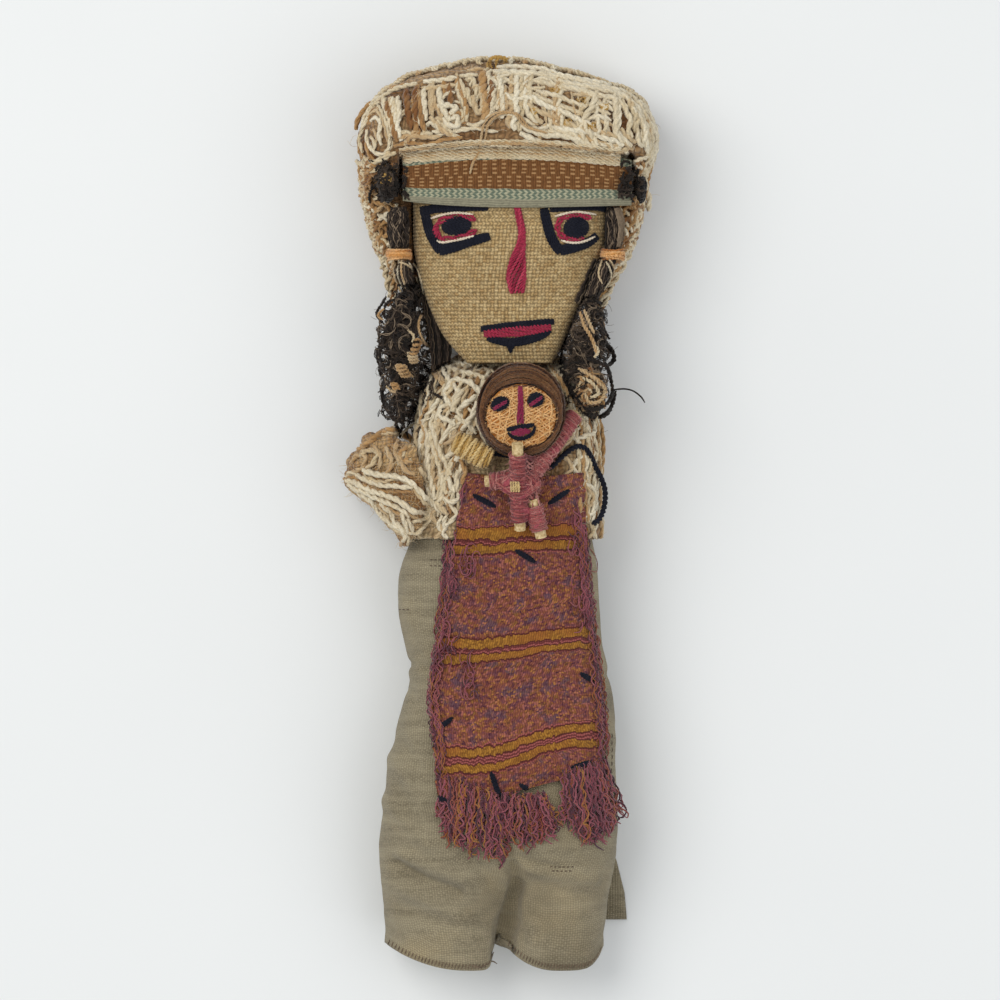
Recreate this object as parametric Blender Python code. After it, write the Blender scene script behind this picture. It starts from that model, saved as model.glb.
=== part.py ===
"""A sewn textile burial figure of the Chancay kind, holding an infant, laid on its back.

Metres. +X is the viewer's right, +Y runs from the hem to the crown and +Z comes up out of the face.
The origin lies on the supporting surface, under the middle of the figure.
Tables and sizes are in millimetres, and every mesh is brought to metres as it is made.
"""

import math

import bmesh
import bpy
from mathutils import Matrix, Vector

MM = 0.001
GAP = 0.4  # left between touching pieces
SEAT_GAP = 0.7  # left under a cloth that lies on a rounded body
CLOTH = 1.7  # thickness of the woven cloths
FLOOR = 0.0

# Rows of a body, from the crown end to the hem end: place along Y, left, right, back and front.
TORSO_ROWS = (
    (47.0, -8.0, 14.0, 11.0, 24.0),
    (43.0, -16.2, 22.3, 6.0, 30.0),
    (30.4, -23.0, 28.8, 3.4, 34.0),
    (12.4, -27.4, 31.2, 2.6, 36.0),
    (-2.0, -30.6, 32.2, 2.2, 37.0),
    (-16.4, -35.3, 34.9, 2.2, 38.0),
    (-30.8, -37.8, 36.0, 2.2, 39.0),
    (-43.4, -36.0, 36.4, 2.2, 38.0),
    (-55.3, -31.7, 38.9, 2.2, 36.5),
    (-66.8, -35.3, 41.4, 2.2, 38.0),
    (-81.2, -38.9, 42.1, 2.2, 40.0),
    (-99.2, -41.4, 42.5, 2.2, 41.0),
    (-120.8, -43.9, 42.8, 2.2, 40.0),
    (-133.4, -42.6, 41.0, 2.2, 36.0),
    (-146.0, -42.5, 38.9, 2.2, 31.0),
    (-155.0, -41.8, 37.1, 2.2, 27.0),
)
SHAWL_ROWS = (
    (60.5, -10.0, 16.0, 4.0, 18.0),
    (58.0, -17.0, 23.0, 1.0, 22.0),
    (54.4, -21.0, 27.0, 0.0, 22.6),
    (51.4, -24.0, 30.0, 0.0, 38.0),
    (46.5, -27.0, 32.5, 0.0, 41.0),
    (37.6, -29.0, 34.5, 0.0, 43.0),
    (23.0, -30.5, 35.2, 0.0, 44.0),
    (9.0, -31.5, 35.6, 0.0, 43.5),
    (0.0, -33.0, 36.0, 0.0, 42.5),
    (-6.0, -34.5, 36.2, 0.0, 41.2),
    (-9.0, -35.4, 36.2, 0.0, 40.4),
)
HEAD_ROWS = (
    (131.2, -26.0, 35.0, 10.0, 37.0),
    (125.8, -29.5, 38.2, 8.5, 40.0),
    (110.7, -31.7, 40.0, 8.0, 41.0),
    (98.8, -31.3, 38.2, 8.0, 41.0),
    (88.0, -30.2, 35.3, 8.0, 41.0),
    (75.4, -25.9, 29.0, 9.0, 41.0),
    (66.4, -22.3, 24.8, 14.0, 41.0),
    (59.2, -18.0, 22.7, 24.0, 40.5),
    (55.6, -14.4, 20.9, 26.0, 39.5),
    (53.8, -10.8, 18.0, 29.0, 37.0),
)
HEADCLOTH_ROWS = (
    (162.9, -10.8, 9.0, 18.0, 30.0),
    (160.7, -25.2, 21.6, 10.0, 35.0),
    (156.4, -34.9, 32.8, 4.0, 41.0),
    (152.1, -41.8, 46.4, 1.0, 44.0),
    (147.8, -45.7, 52.6, 0.0, 46.0),
    (143.5, -49.3, 55.1, 0.0, 47.0),
    (134.8, -51.5, 56.5, 0.0, 48.0),
    (130.5, -51.1, 55.8, 0.0, 47.5),
    (126.2, -49.9, 54.0, 0.0, 45.0),
    (121.9, -50.0, 52.6, 0.0, 40.0),
    (116.8, -50.0, 52.2, 0.0, 33.0),
    (108.9, -48.2, 51.1, 0.0, 28.0),
    (100.3, -46.1, 49.0, 0.0, 25.0),
    (91.6, -42.8, 45.4, 0.0, 22.0),
    (84.0, -37.0, 40.0, 0.0, 17.0),
    (77.2, -27.0, 32.0, 0.0, 9.0),
)

# Squareness of each cross-section: 2 is an ellipse, and more is boxier.
BODY_SQUARENESS = 2.6
HEAD_SQUARENESS = 5.0
HEADCLOTH_SQUARENESS = 3.2
SIDES, HEAD_SIDES = 26, 24  # corners of the cross-sections
FLATNESS_BEHIND = 5.0  # the squareness of every back, which lies on the surface

HEM_Y = -155.0
HEM_DROP = 9.4  # how far each lobe of the front hem hangs below HEM_Y
LOBES = (  # left edge, lowest place and right edge, then how sharply each side turns up
    (-41.8, -10.8, -1.1, 2.2, 6.0),
    (1.8, 22.7, 37.8, 2.6, 5.0),
)
BACK_HEM = 3.0  # how much shorter the back hem is
HEM_RECESS = 3.6  # how far the filling stays back from the hem's edge
HEM_REACH = 14.0  # length over which the skirt's rows turn into the hem's lobes
CLEFT_DEPTH, CLEFT_WIDTH = 13.5, 4.4
CLEFT_LINE = ((-118.0, 3.0), (-128.0, 5.0), (-136.0, 6.2), (-148.0, 3.0), (-155.0, 0.4), (-166.0, 0.2))

PANEL_TOP, PANEL_BOTTOM, PANEL_INSET = -12.0, -147.6, 7.0
PANEL_CORNER = ((-106.0, 35.5), (-120.6, 40.8), (-131.6, 44.6), (-141.3, 45.9), (-150.0, 46.4))

# Corners of the apron down its left and right edges: place along Y, left, right.
APRON_EDGES = (
    (15.4, -13.7, 30.2),
    (5.2, -14.4, 30.6),
    (-5.6, -16.2, 31.4),
    (-16.4, -17.6, 32.0),
    (-30.8, -19.4, 33.0),
    (-45.2, -22.3, 34.2),
    (-59.6, -25.2, 35.8),
    (-74.0, -25.2, 37.0),
    (-84.8, -23.8, 37.0),
    (-103.0, -23.0, 36.4),
)
APRON_BANDS = ((-11.0, 4.2), (-48.5, 4.6), (-90.0, 5.0))  # raised striped bands: middle, half height
BAND_RISE = 0.9
APRON_RISE = 11.0  # how much higher its lower edge is at the right

BAND_LEFT, BAND_RIGHT = -35.2, 47.6  # ends of the woven headband
BAND_TOP, BAND_BOTTOM = 129.0, 111.2
BAND_THICK, BAND_SAG = 2.2, 1.7
BAND_SEAT, BAND_FLAT, BAND_CURL = 41.4, 22.0, 0.013  # it curves back round the temples past its flat part
WINDOW_MARGIN, WINDOW_FOOT = 1.0, 104.0  # the headcloth's opening, which shows the headband and the face
WINDOW_BACK, WINDOW_FRONT = 27.0, 60.0
BAND_KNOTS = (  # middle and radii
    ("band_knot_left", (-40.2, 118.4, 38.6), (3.6, 6.2, 3.0)),
    ("band_knot_right", (50.9, 117.4, 31.8), (2.4, 5.6, 2.8)),
)

# Locks of hair: rows as above, then lumpiness, count of rows and of sides.
LOCKS = {
    "hair_left": (((110.9, -39.6, -33.4, 31.0, 38.0), (107.6, -41.2, -32.6, 29.0, 41.0),
                   (101.0, -41.0, -32.4, 28.5, 42.0), (95.8, -39.8, -32.8, 29.0, 39.5)), 0.0, 6, 10),
    "hair_right": (((110.6, 37.0, 43.2, 31.0, 39.0), (106.0, 37.4, 45.0, 30.0, 42.5),
                    (100.0, 37.6, 44.6, 29.5, 42.5), (95.8, 37.6, 43.2, 29.0, 40.0)), 0.0, 6, 10),
    "hair_left_lower": (((91.3, -39.2, -32.6, 29.0, 39.5), (86.5, -38.2, -31.6, 28.0, 40.0),
                         (83.2, -37.6, -31.0, 26.0, 38.0)), 0.0, 5, 10),
    "hair_right_lower": (((91.2, 35.4, 42.0, 29.0, 40.5), (84.0, 32.0, 39.6, 28.0, 41.0),
                          (78.6, 30.0, 35.4, 28.0, 39.0)), 0.0, 6, 10),
    "hair_tassel_left": (((82.6, -38.6, -29.4, 21.0, 36.0), (74.0, -44.0, -28.0, 17.0, 37.0),
                          (62.0, -44.4, -25.6, 12.0, 36.0), (50.0, -42.6, -29.6, 9.0, 34.0),
                          (38.0, -40.6, -31.4, 7.0, 30.0), (31.5, -38.6, -33.4, 9.0, 24.0)), 0.16, 11, 12),
    "hair_tassel_right": (((78.0, 28.6, 35.6, 22.0, 36.0), (68.0, 25.4, 37.0, 24.0, 41.0),
                           (56.0, 23.6, 38.4, 26.0, 45.0), (45.0, 25.0, 40.0, 26.0, 46.0),
                           (36.0, 30.4, 38.6, 26.0, 44.0)), 0.12, 9, 12),
}
TIES = (("hair_tie_left", -36.3, 93.5, 4.4), ("hair_tie_right", 40.6, 93.4, 4.2))  # middle and half width
TIE_STEPS = ((1.6, 0.7, 29.6, 39.8), (0.0, 0.0, 28.8, 40.8), (-1.5, 0.7, 29.6, 39.8))

# The sleeve tassel's outline from above, closed, then its steps from the surface up: share, height, loop depth.
TASSEL_OUTLINE = (
    (-40.0, 31.6), (-47.4, 30.2), (-53.8, 24.0), (-57.8, 14.6), (-55.0, 8.0), (-49.0, 3.8),
    (-42.4, -2.8), (-37.4, -9.6), (-32.4, -12.4), (-28.0, -6.0), (-26.0, 8.0), (-30.0, 24.0), (-40.0, 31.0),
)
TASSEL_STEPS = (
    (0.45, 2.4, 0.0), (0.86, 4.4, 0.04), (0.98, 8.6, 0.12), (1.0, 12.6, 0.14), (0.95, 17.2, 0.13),
    (0.82, 21.4, 0.1), (0.56, 24.2, 0.06), (0.2, 25.2, 0.0),
)
TASSEL_LOOPS, TASSEL_MIDDLE = 11, (-37.0, 11.0)
TASSEL_FAR_X, TASSEL_REACH, TASSEL_LEAN = -56.0, 30.0, 33.0  # it leans up over the shoulder from its far end

FOREARM = ((-16.6, 26.6, 50.2), (-3.2, 19.2, 50.8))
FOREARM_STEPS = ((0.0, 2.2), (0.06, 3.2), (0.3, 3.9), (0.7, 3.9), (0.93, 3.1), (1.0, 1.8))  # share and radius
FOREARM_SIDES = 14

# Each bunch of the fringe: its ends at the apron, the left and right ends of its foot, and its strands.
FRINGES = (
    ("fringe_left", (-22.6, 0.0), (-17.8, -122.8), (1.4, -121.0), 6),
    ("fringe_middle", (0.8, 21.0), (3.0, -117.4), (26.6, -112.6), 6),
    ("fringe_right", (22.4, 36.0), (29.6, -118.6), (40.4, -106.4), 4),
)
STITCHES = (  # middle, and turn in degrees
    (-6.2, 5.4, -24), (21.0, 5.4, 29), (9.7, -14.6, -27), (-17.0, -25.4, -78), (31.4, -58.6, -12),
    (-21.0, -74.2, 20), (-0.9, -95.6, -62), (11.2, -95.8, -28), (29.0, -86.4, 8), (-19.6, -99.4, -16),
)
STITCH_HALF, STITCH_RADIUS, STITCH_BEVEL = 3.2, 0.85, 0.35
STITCH_RIM = 1.3  # the least angle in radians at a stitch's ends, more than at its sides

CROWN_TUFT = ((-4.6, 159.8, 38.6), (-3.2, 162.2, 37.6), (-0.6, 163.8, 36.2), (1.2, 162.6, 36.0))
CROWN_TUFT_RADIUS = 0.9

STITCH_RISE = 1.0  # how proud the face's embroidery stands
FACE_OUTLINES = (
    ("eye_left", ((-28.6, 108.6), (-27.4, 104.0), (-27.0, 99.4), (-24.4, 94.8), (-20.4, 92.2), (-12.0, 95.2),
                  (-3.6, 98.6), (-3.2, 101.4), (-8.0, 105.4), (-5.2, 108.6), (-4.7, 113.0), (-27.0, 113.0)),
     "dark_yarn"),
    ("eye_right", ((14.0, 113.0), (14.6, 105.6), (15.6, 100.6), (18.0, 95.0), (22.2, 91.8), (27.4, 94.6),
                   (34.8, 99.4), (35.6, 102.4), (33.2, 105.2), (37.2, 108.0), (36.8, 113.0)), "dark_yarn"),
    ("nose", ((4.4, 113.0), (5.7, 106.0), (6.0, 100.0), (5.3, 96.0), (3.2, 91.0), (2.5, 84.0), (4.6, 78.8),
              (7.9, 78.8), (9.4, 83.8), (9.1, 91.0), (8.7, 96.0), (9.3, 100.0), (8.7, 106.0), (8.0, 113.0)),
     "red_yarn"),
    ("mouth", ((-7.8, 68.4), (-7.2, 66.0), (-5.0, 62.4), (1.8, 60.4), (3.4, 55.9), (5.0, 56.0), (5.8, 60.2),
               (12.0, 62.8), (18.4, 65.0), (20.2, 68.2), (19.8, 70.4), (6.0, 69.4)), "dark_yarn"),
)

INFANT_X, INFANT_Y = 7.6, 37.3  # middle of the infant's head
HOOD_WIDE, HOOD_TALL = 15.1, 16.5  # half sizes of its wound hood
FACE_WIDE, FACE_TALL, FACE_DOWN = 12.7, 11.8, 2.2
# Steps of the hood and of the face in it, from the back up: share of the half sizes, height.
HOOD_STEPS = ((0.48, 46.4), (0.80, 47.8), (0.97, 50.3), (1.0, 51.6), (0.99, 53.0), (0.965, 53.9))
HOOD_RIM, HOOD_DISH = 54.1, 52.0  # heights of the rim round the face and of the dish that it lies in
FACE_STEPS = ((1.0, 52.4), (1.0, 53.8), (0.9, 54.4), (0.6, 54.8), (0.25, 54.9))
FACE_CLEARANCE = 0.2
REED, BORE, WOUND = 2.1, 2.4, 3.05  # radii of a reed, of the hole round it and of its yarn winding
BODY_LUMP = ((7.2, 11.0, 51.4), (8.6, 5.6, 4.8))  # middle and radii of the knot where the windings cross
THROUGH = 3.0  # how far a bore runs past the end of a reed that shows

# Each reed: its ends, where its winding starts and stops as shares, and how far its bore runs past each end.
REEDS = {
    "infant_reed_body": ((6.2, 25.4, 59.4), (7.2, -5.4, 48.2), 0.12, 0.9, THROUGH, THROUGH),
    "infant_reed_arm_left": ((-5.4, 11.9, 49.8), (2.2, 12.3, 50.6), 0.26, 1.2, THROUGH, GAP),
    "infant_reed_arm_right": ((13.4, 16.8, 49.2), (27.4, 36.6, 42.6), -0.2, 0.96, GAP, THROUGH),
    "infant_reed_leg": ((11.6, 5.6, 50.4), (14.8, -8.2, 47.2), 0.16, 0.8, GAP, THROUGH),
}

CORD = 1.1  # radius of the dark cord
NECK_CORD = ((-5.4, 23.2, 45.6), (-2.0, 22.0, 45.4), (3.0, 21.2, 45.3), (9.0, 21.0, 45.2), (13.0, 22.0, 44.8))
CARRYING_CORD = (
    (17.4, 16.2, 45.2), (19.4, 17.9, 44.6), (23.3, 21.7, 43.0), (27.3, 24.3, 40.8), (30.4, 23.9, 38.4),
    (32.6, 21.0, 36.0), (34.4, 17.0, 33.4), (36.6, 12.8, 31.0), (37.9, 8.2, 30.2), (37.5, 2.5, 31.0),
    (35.8, -1.7, 33.4), (33.4, -3.4, 35.9),
)

COLOURS = {
    "tunic_cloth": (0.36, 0.32, 0.24),
    "gauze": (0.74, 0.63, 0.46),
    "face_cloth": (0.50, 0.38, 0.20),
    "band_weave": (0.38, 0.22, 0.11),
    "dark_hair": (0.035, 0.025, 0.022),
    "orange_thread": (0.72, 0.42, 0.18),
    "dark_yarn": (0.02, 0.02, 0.03),
    "red_yarn": (0.48, 0.06, 0.10),
    "tan_yarn": (0.56, 0.40, 0.19),
    "brown_thread": (0.20, 0.10, 0.045),
    "infant_face": (0.70, 0.40, 0.17),
    "pink_yarn": (0.50, 0.17, 0.17),
    "reed": (0.76, 0.62, 0.40),
    "tapestry": (0.36, 0.13, 0.09),
}


def clear_scene():
    for obj in list(bpy.data.objects):
        bpy.data.objects.remove(obj)


def new_collection(name):
    made = bpy.data.collections.new(name)
    bpy.context.scene.collection.children.link(made)
    return made


def yarn_material(name):
    made = bpy.data.materials.get(name)
    if made is None:
        made = bpy.data.materials.new(name)
        made.use_nodes = True
        shader = made.node_tree.nodes["Principled BSDF"]
        shader.inputs["Base Color"].default_value = (*COLOURS[name], 1.0)
        shader.inputs["Roughness"].default_value = 0.9
        shader.inputs["Metallic"].default_value = 0.0
    return made


def finish_mesh(name, bm, material, collection, smooth=True):
    """Turns a bmesh in millimetres into a named object in metres, with its faces pointing out."""
    bmesh.ops.remove_doubles(bm, verts=bm.verts, dist=1e-4)
    bmesh.ops.transform(bm, matrix=Matrix.Scale(MM, 4), verts=bm.verts)
    bmesh.ops.recalc_face_normals(bm, faces=bm.faces)
    mesh = bpy.data.meshes.new(name)
    bm.to_mesh(mesh)
    bm.free()
    if smooth:
        mesh.shade_smooth()
        mesh.set_sharp_from_angle(angle=math.radians(50))
    obj = bpy.data.objects.new(name, mesh)
    obj.data.materials.append(yarn_material(material))
    collection.objects.link(obj)
    return obj


# Smooth tables
def slope(before, here, after, k):
    """The slope of column k at a row, level at a peak so that the curve never overshoots."""
    if before is None or after is None:
        low, high = (here, after) if before is None else (before, here)
        return (high[k] - low[k]) / (high[0] - low[0])
    first = (here[k] - before[k]) / (here[0] - before[0])
    second = (after[k] - here[k]) / (after[0] - here[0])
    return 0.0 if first * second <= 0 else 2 * first * second / (first + second)


def row_at(rows, y):
    """The row of a table at any place along Y, on a smooth curve through the rows."""
    y = min(rows[0][0], max(rows[-1][0], y))
    i = next(n for n in range(len(rows) - 1) if rows[n + 1][0] <= y)
    here, after = rows[i], rows[i + 1]
    before = rows[i - 1] if i else None
    beyond = rows[i + 2] if i + 2 < len(rows) else None
    long = after[0] - here[0]
    t = (y - here[0]) / long
    found = [y]
    for k in range(1, len(here)):
        rise = slope(before, here, after, k) * long
        fall = slope(here, after, beyond, k) * long
        found.append(
            (2 * t**3 - 3 * t**2 + 1) * here[k]
            + (t**3 - 2 * t**2 + t) * rise
            + (3 * t**2 - 2 * t**3) * after[k]
            + (t**3 - t**2) * fall
        )
    return found


def spaced(first, last, count):
    return [first + (last - first) * n / (count - 1) for n in range(count)]


def power(value, exponent):
    return math.copysign(abs(value) ** exponent, value)


def bump(value, middle, half):
    """A smooth hill: 1 at its middle, and 0.37 at half either side of it."""
    return math.exp(-(((value - middle) / half) ** 2))


def height_on(row, x, squareness):
    """Height of a body's front at x, on the cross-section that a row gives."""
    _, left, right, back, front = row
    across = min(0.999, abs(x - (left + right) / 2) / ((right - left) / 2))
    middle, half = (back + front) / 2, (front - back) / 2
    return middle + half * (1 - across**squareness) ** (1 / squareness)


# Front surfaces that other pieces lie on
def tunic_folds(x, y):
    """What the folds add to the skirt's front: the cleft between its lobes, creases and puckers."""
    opening = 1 / (1 + math.exp((y + 126.0) / 3.2))
    cleft = -CLEFT_DEPTH * opening * bump(x, row_at(CLEFT_LINE, y)[1], CLEFT_WIDTH)
    crease_y = -139.5 - 0.22 * (x + 22.0)
    crease = -2.6 * bump(y, crease_y, 2.6) * bump(x, -23.0, 11.0)
    swell = 1.6 * bump(y, -146.0, 6.0) * bump(x, 20.0, 12.0)
    pucker = -2.4 * bump(y, -55.5, 4.0) * bump(x, -34.0, 6.0)
    dimple = -1.5 * bump(y, -131.0, 3.0) * bump(x, 20.0, 12.0)
    return cleft + crease + swell + pucker + dimple


def tunic_front(x, y):
    row = row_at(TORSO_ROWS, y)
    across = abs(x - (row[1] + row[2]) / 2) / ((row[2] - row[1]) / 2)
    fade = max(0.0, 1 - across**4)
    return height_on(row, x, BODY_SQUARENESS) + fade * tunic_folds(x, y)


def shawl_front(x, y):
    return height_on(row_at(SHAWL_ROWS, y), x, BODY_SQUARENESS) if y > SHAWL_ROWS[-1][0] else 0.0


def head_front(x, y):
    return height_on(row_at(HEAD_ROWS, y), x, HEAD_SQUARENESS)


def apron_seat(x, y):
    """Where the apron's underside lies: on the shawl, easing down on to the skirt past its lower edge."""
    last = SHAWL_ROWS[-1][0]
    edge = height_on(SHAWL_ROWS[-1], x, BODY_SQUARENESS)
    over = edge - 0.32 * max(0.0, last - y)
    return max(tunic_front(x, y), shawl_front(x, y), over) + SEAT_GAP


def apron_foot(x):
    """The apron's lower edge, level at the left and rising to the right."""
    y, left, right = APRON_EDGES[-1]
    share = min(1.0, max(0.0, (x - left) / (right - left)))
    return y + APRON_RISE * max(0.0, (share - 0.4) / 0.6) ** 1.6


def skirt_top(x, y):
    """The skirt's front with its hollows bridged, which is where a fringe lies."""
    return max(tunic_front(x, y), height_on(row_at(TORSO_ROWS, y), x, BODY_SQUARENESS)) + SEAT_GAP


def apron_relief(y):
    return sum(BAND_RISE * bump(y, middle, half) for middle, half in APRON_BANDS)


def apron_top(x, y):
    return apron_seat(x, y) + CLOTH + apron_relief(y)


# Ways to make a solid
def skin(name, rings, material, collection, smooth=True):
    """A closed solid through rings of points, with its first and last ring filled."""
    bm = bmesh.new()
    loops = []
    for ring in rings:
        verts = [bm.verts.new(point) for point in ring]
        loops.append([bm.edges.new((verts[i - 1], verts[i])) for i in range(len(verts))])
    for here, after in zip(loops, loops[1:]):
        bmesh.ops.bridge_loops(bm, edges=here + after)
    for ends in (loops[0], loops[-1]):
        bmesh.ops.contextual_create(bm, geom=ends)
    return finish_mesh(name, bm, material, collection, smooth)


def cross_section(row, sides, squareness, relief=None, shift=None):
    """The ring of a body at one row, boxier behind. relief lifts its front and shift moves it along Y."""
    y, left, right, back, front = row
    ring = []
    for n in range(sides):
        angle = math.tau * n / sides
        c, s = math.cos(angle), math.sin(angle)
        boxy = squareness if s >= 0 else FLATNESS_BEHIND
        x = (left + right) / 2 + (right - left) / 2 * power(c, 2 / boxy)
        z = (back + front) / 2 + (front - back) / 2 * power(s, 2 / boxy)
        if relief and s > 0:
            z += max(0.0, 1 - abs(c) ** (8 / boxy)) * relief(x, y)
        ring.append((x, y + (shift(x, s) if shift else 0.0), z))
    return ring


def loft(name, rows, count, sides, squareness, material, collection, relief=None):
    places = spaced(rows[0][0], rows[-1][0], count)
    rings = [cross_section(row_at(rows, y), sides, squareness, relief) for y in places]
    return skin(name, rings, material, collection)


def slab(name, across, along, place, lower, upper, material, collection):
    """A cloth that lies on a form. place gives x and y for shares u and v; lower and upper are its faces."""
    bm = bmesh.new()
    bmesh.ops.create_grid(bm, x_segments=across, y_segments=along, size=1.0)
    under = list(bm.verts)
    shares = [((v.co.x + 1) / 2, (v.co.y + 1) / 2) for v in under]
    made = bmesh.ops.extrude_face_region(bm, geom=list(bm.faces))["geom"]
    over = [v for v in made if isinstance(v, bmesh.types.BMVert)]
    keyed = {(round(v.co.x, 4), round(v.co.y, 4)): v for v in over}
    pairs = [(v, keyed[(round(v.co.x, 4), round(v.co.y, 4))]) for v in under]
    for (below, above), (u, v) in zip(pairs, shares):
        x, y = place(u, v)
        below.co = (x, y, lower(x, y))
        above.co = (x, y, upper(x, y, u, v))
    return finish_mesh(name, bm, material, collection)


def rod(start, end, radius, sides=12):
    """A bmesh of a round bar between two points."""
    start, end = Vector(start), Vector(end)
    run = end - start
    turn = run.to_track_quat("Z", "Y").to_matrix().to_4x4()
    bm = bmesh.new()
    bmesh.ops.create_cone(
        bm,
        cap_ends=True,
        segments=sides,
        radius1=radius,
        radius2=radius,
        depth=run.length,
        matrix=Matrix.Translation((start + end) / 2) @ turn,
    )
    return bm


def lump(middle, radii, detail):
    """A bmesh of an ellipsoid."""
    bm = bmesh.new()
    bmesh.ops.create_icosphere(bm, subdivisions=detail, radius=1.0)
    bmesh.ops.transform(bm, matrix=Matrix.Translation(middle) @ Matrix.Diagonal((*radii, 1.0)), verts=bm.verts)
    return bm


def curved_points(route, step):
    """Points about a step apart on a smooth curve through the points of a route."""
    ends = [Vector(p) for p in (route[0], *route, route[-1])]
    found = []
    for before, here, after, beyond in zip(ends, ends[1:], ends[2:], ends[3:]):
        count = max(1, round((after - here).length / step))
        for n in range(count):
            t = n / count
            found.append(
                0.5
                * (
                    2 * here
                    + (after - before) * t
                    + (2 * before - 5 * here + 4 * after - beyond) * t**2
                    + (3 * here - before - 3 * after + beyond) * t**3
                )
            )
    return [*found, ends[-1]]


def strand(name, route, radius, step, material, collection):
    """A yarn along a route: a bevelled curve made a mesh, with its caps welded."""
    points = curved_points(route, step)
    data = bpy.data.curves.new(name, "CURVE")
    data.dimensions = "3D"
    data.bevel_depth = radius * MM
    data.bevel_resolution = 1
    data.use_fill_caps = True
    spline = data.splines.new("POLY")
    spline.points.add(len(points) - 1)
    for n, point in enumerate(points):
        spline.points[n].co = (*(point * MM), 1.0)
    curve = bpy.data.objects.new(name, data)
    collection.objects.link(curve)
    graph = bpy.context.evaluated_depsgraph_get()
    mesh = bpy.data.meshes.new_from_object(curve.evaluated_get(graph))
    bpy.data.objects.remove(curve)
    bm = bmesh.new()
    bm.from_mesh(mesh)
    bpy.data.meshes.remove(mesh)
    bmesh.ops.transform(bm, matrix=Matrix.Scale(1 / MM, 4), verts=bm.verts)
    return finish_mesh(name, bm, material, collection)


def as_cutter(obj, helpers):
    for collection in list(obj.users_collection):
        collection.objects.unlink(obj)
    helpers.objects.link(obj)
    obj.hide_render = True
    obj.display_type = "WIRE"
    return obj


def swollen(obj, helpers, gap=GAP):
    """A hidden copy of a piece, bigger all round by a gap, that clears its neighbours."""
    graph = bpy.context.evaluated_depsgraph_get()
    mesh = bpy.data.meshes.new_from_object(obj.evaluated_get(graph))
    normals = [v.normal.copy() for v in mesh.vertices]
    for vertex, normal in zip(mesh.vertices, normals):
        vertex.co += normal * gap * MM
    return as_cutter(bpy.data.objects.new(obj.name + "_clearance", mesh), helpers)


def boolean(obj, other, operation):
    modifier = obj.modifiers.new(operation.lower(), "BOOLEAN")
    modifier.operation = operation
    modifier.solver = "EXACT"
    modifier.object = other


def unite(obj, others, helpers):
    """Makes one solid of several overlapping ones, each named for the solid that it joins."""
    for other in others:
        boolean(obj, as_cutter(other, helpers), "UNION")
    return obj


# The pieces of the large figure
def hem_shift(x, side):
    """The front hem hangs in two lobes, and the back hem is short."""
    if side < 0.05:
        return BACK_HEM
    drop = 0.0
    for left, lowest, right, left_turn, right_turn in LOBES:
        if x < lowest:
            drop = max(drop, 1 - min(1.0, (lowest - x) / (lowest - left)) ** left_turn)
        else:
            drop = max(drop, 1 - min(1.0, (x - lowest) / (right - lowest)) ** right_turn)
    return -HEM_DROP * drop


def make_tunic(parts):
    """The stuffed skirt and torso, whose filling stays a little back from the hem."""
    places = spaced(TORSO_ROWS[0][0], HEM_Y, 25)
    rings = []
    for y in places:
        near_hem = max(0.0, 1 - (y - HEM_Y) / HEM_REACH)
        rings.append(
            cross_section(
                row_at(TORSO_ROWS, y),
                SIDES,
                BODY_SQUARENESS,
                tunic_folds,
                lambda x, s, share=near_hem: share * hem_shift(x, s),
            )
        )
    _, left, right, back, front = row_at(TORSO_ROWS, HEM_Y)
    for depth, inset in ((0.6, CLOTH), (HEM_RECESS, CLOTH + 0.8)):
        hollow = (HEM_Y, left + inset, right - inset, back + inset, front - inset)
        rings.append(
            cross_section(
                hollow,
                SIDES,
                BODY_SQUARENESS,
                lambda x, y: 0.86 * tunic_folds(x, y),
                lambda x, s, d=depth: hem_shift(x, s) + d,
            )
        )
    skin("tunic", rings, "tunic_cloth", parts)


def make_back_panel(parts):
    """The tunic's rear cloth, flat on the surface, whose lower right corner shows past the skirt."""

    def place(u, v):
        y = PANEL_BOTTOM + (PANEL_TOP - PANEL_BOTTOM) * v
        row = row_at(TORSO_ROWS, y)
        left, right = row[1] + PANEL_INSET, row[2] - PANEL_INSET
        if y < PANEL_CORNER[0][0]:
            right = row_at(PANEL_CORNER, y)[1]
        return left + (right - left) * u, y - 1.6 * (1 - v) * u

    slab(
        "tunic_back_panel",
        3,
        12,
        place,
        lambda x, y: FLOOR,
        lambda x, y, u, v: CLOTH,
        "tunic_cloth",
        parts,
    )


def make_shawl(parts):
    """The looped wrap over the shoulders: a bag open below, with the torso inside."""
    outer = [cross_section(row_at(SHAWL_ROWS, y), SIDES, BODY_SQUARENESS) for y in spaced(60.5, -9.0, 13)]
    inner = []
    for y in spaced(-9.0, 49.0, 7):
        _, left, right, back, front = row_at(TORSO_ROWS, min(y, 47.0))
        shut = max(0.0, (y - 45.2) / 4.0)
        room = GAP + 0.15
        row = (y, left - room + 3 * shut, right + room - 3 * shut, max(1.1, back - room), front + room)
        inner.append(cross_section(row, SIDES, BODY_SQUARENESS))
    return skin("shawl", outer + inner, "gauze", parts)


def make_head(parts):
    return loft("head", HEAD_ROWS, 12, HEAD_SIDES, HEAD_SQUARENESS, "face_cloth", parts)


def band_height(x):
    """Height of the headband's underside, curving back round the temples."""
    middle = (HEAD_ROWS[2][1] + HEAD_ROWS[2][2]) / 2
    past = max(0.0, abs(x - middle) - BAND_FLAT)
    return BAND_SEAT - BAND_CURL * past**2


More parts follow.
